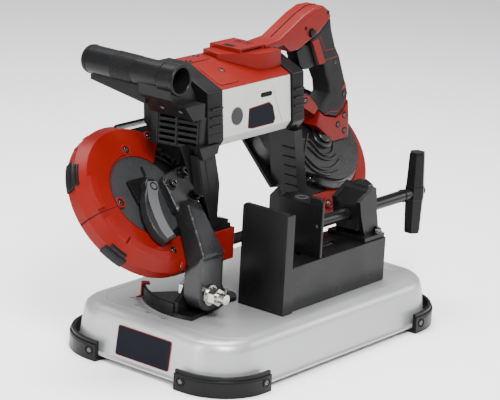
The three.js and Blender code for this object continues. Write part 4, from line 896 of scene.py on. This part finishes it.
def handle_details():
    """Red strips, panel lines and screws on both sides of the rear handle, the screws and two small holes on
    dark discs of painted shade, its near ear and its top seam.
    """
    strip = [(119, 331.5), (130.5, 334.5), (148, 301.5), (136, 300.5)]
    chip = [(190, 272), (193.5, 265), (184, 261.5), (187, 266)]
    lines = (
        [(134, 336), (146, 317), (168, 317)],
        [(141, 304.5), (174, 306.5)],
        [(153, 235.2), (163, 238), (178, 236), (191, 244), (196.5, 257)],
    )
    near = facing("front", 0, HANDLE_NEAR + GRIP_INSET, 0)
    far = facing("back", 0, HANDLE_FAR - GRIP_INSET, 0)
    trim, dark, heads = Build(), Build(), Build()
    for place, side in ((near, 1), (far, -1)):
        trim.prism(place, mirrored(strip, side), -0.6, 0.5)
        for line in lines:
            trim.path(place, mirrored(line, side), 1.0, -0.5, 0.3)
        trim.prism(place, mirrored(chip, side), -0.5, 0.4)
        for x, z in ((168, 299), (190, 256)):
            spot = at(place, side * x, z)
            # painted shade: a dark disc in each screw's pocket
            disc(dark, spot, 3.4, 0.3)
            screw(heads, at(spot, 0, 0, -0.2), 2.4, 0.7)
    red_near = facing("front", 0, HANDLE_NEAR, 0)
    # painted shade: a dark disc round each screw on the red near face
    for x, z in ((180, 219), (192.5, 229), (194, 209), (112, 260)):
        spot = at(red_near, x, z)
        disc(dark, spot, 4.2, 0.3)
        screw(heads, spot, 2.6, 0.8)
    # painted shade: dark discs for two small holes
    for x, z in ((146, 364), (104, 350)):
        disc(dark, at(red_near, x, z), 2.6, 0.2, 16)
    trim.finish("handle_trim", RED, "saw", 0.2)
    outline = [(104, 262), (109, 268), (118, 266), (132, 254), (139, 246), (131, 239), (117, 247), (106, 253)]
    ear = Build().prism(red_near, outline, -14, 0)
    ear.finish("handle_base_ear", RED, "saw", 1.2)
    dark.finish("handle_painted_shade", SHADE_AND_LINE_BLACK, "saw", 0.05)
    heads.finish("handle_screws", OXIDE, "saw", 0.1)
    crest = [(56, 343.6), (100, 366.1), (120, 373.1), (138, 373.1), (149, 366.2), (153.5, 357.6)]
    seam = Build().path(facing("front", 0, 45.4, 0), crest, 0.9, -0.1, 0.9)
    seam.finish("handle_seam", SHADE_AND_LINE_BLACK, "saw", 0)


def dock_details():
    """The battery dock's four contact slots and its latch window, drawn as dark patches of painted shade."""
    build = Build()
    top = facing("up", 0, 0, DOCK_TOP)
    # painted shade: dark patches for the four contact slots and the latch window
    for y in (46, 51, 59, 64):
        build.slab(top, 12, 24, y - 0.8, y + 0.8, -0.6, 0.25)
    build.slab(top, -12, -4, 48, 62, -0.5, 0.25)
    build.finish("dock_slot_shade", SHADE_AND_LINE_BLACK, "saw", 0.05)


# ---------------------------------------------------------------- vise
def vise_details():
    """Beads along the channel and the fixed jaw, the turned rings of the screw and the moving jaw's boss."""
    build = Build()
    build.path(facing("front", 0, -88, 0), [(-59, 111.2), (131, 111.2)], 0.9, -0.6, 0.35)
    for y in (88, 28):
        build.path(facing("left", -66.3, 0, 0), [(y, 62), (y, 176)], 1.2, -0.4, 0.4)
    build.finish("vise_beads", VISE_PAINT, "stand", 0.2)
    rings = Build()
    axis = facing("right", 0, -56.5, 142)
    for x in (86, 128, 134, 205):
        rings.hoop(at(axis, 0, 0, x), [(7.0, -0.8), (8.1, -0.4), (8.1, 0.4), (7.0, 0.8)], 28)
    rings.finish("vise_screw_rings", VISE_PAINT, "screw", 0.1)
    profile = [(8.5, -0.5), (8.5, 0.3), (7.5, 0.5), (4.4, 0.5), (4.0, -0.1), (0.05, -0.1)]
    boss = Build().turned(facing("up", 16, -46, 175), profile, 28)
    boss.finish("jaw_boss", DECK, "vise_slide", 0.15)


def dress_saw():
    dress_nodes()
    base_label()
    foot_screws()
    mitre_scale()
    base_emboss()
    bracket_bolts()
    motor_label()
    motor_top()
    bezel_details()
    motor_back()
    vent_frame()
    front_handle_details()
    guard_details()
    disc_details()
    wheel_details()
    blade_teeth()
    gear_cover_details()
    lever_details()
    arm_details()
    post_details()
    handle_details()
    dock_details()
    vise_details()


# ---------------------------------------------------------------- studio
def stage_floor():
    """A plain floor, just under the feet."""
    gap = 0.2 * MM
    grid = bmesh.new()
    bmesh.ops.create_grid(grid, x_segments=8, y_segments=8, size=6)
    data = bpy.data.meshes.new("floor")
    grid.to_mesh(data)
    grid.free()
    floor = bpy.data.objects.new("floor", data)
    floor.location.z = CAD_BOX[0].z - gap
    bpy.context.scene.collection.objects.link(floor)
    data.materials.append(floor_paint())


def soft_light(name, location, target, size, power):
    """A rectangular area light that faces the target; metres and watts."""
    light = bpy.data.lights.new(name, "AREA")
    light.shape = "RECTANGLE"
    light.size, light.size_y = size
    light.energy = power
    item = bpy.data.objects.new(name, light)
    item.location = location
    item.rotation_euler = (Vector(target) - Vector(location)).to_track_quat("-Z", "Y").to_euler()
    bpy.context.scene.collection.objects.link(item)


def studio():
    """An even white surround and four soft lights."""
    world = bpy.data.worlds.new("studio")
    world.use_nodes = True
    background = world.node_tree.nodes["Background"]
    background.inputs["Color"].default_value = (1, 1, 1, 1)
    background.inputs["Strength"].default_value = 0.36
    bpy.context.scene.world = world
    aim = (0, 0, 0.17)
    soft_light("key", (-0.9, -1.1, 1.5), aim, (0.7, 0.7), 74)
    soft_light("side", (-1.6, 0.5, 0.7), aim, (0.5, 1.2), 24)
    soft_light("fill", (1.5, -1.1, 0.8), aim, (0.8, 0.8), 16)
    soft_light("top", (0.2, 0.4, 1.7), aim, (1.2, 0.8), 62)


def camera():
    """The studio camera, at the left front, a little above the saw and slightly rolled."""
    place = WORLD @ Vector((-2121.34, -1670.49, 961.75))
    azimuth, elevation, roll = (math.radians(angle) for angle in (-51.480, 16.478, 3.115))
    back = Vector((math.sin(azimuth) * math.cos(elevation), -math.cos(azimuth) * math.cos(elevation),
                   math.sin(elevation)))
    right = Vector((math.cos(azimuth), math.sin(azimuth), 0))
    up = back.cross(right)
    rolled_right = right * math.cos(roll) + up * math.sin(roll)
    rolled_up = up * math.cos(roll) - right * math.sin(roll)
    data = bpy.data.cameras.new("camera")
    data.sensor_width = 36
    data.lens = 172.8
    data.clip_start, data.clip_end = 0.1, 20
    item = bpy.data.objects.new("camera", data)
    turn = Matrix((rolled_right, rolled_up, back)).transposed()
    item.matrix_world = Matrix.Translation(place) @ turn.to_4x4()
    bpy.context.scene.collection.objects.link(item)
    bpy.context.scene.camera = item


dress_saw()
stage_floor()
studio()
camera()
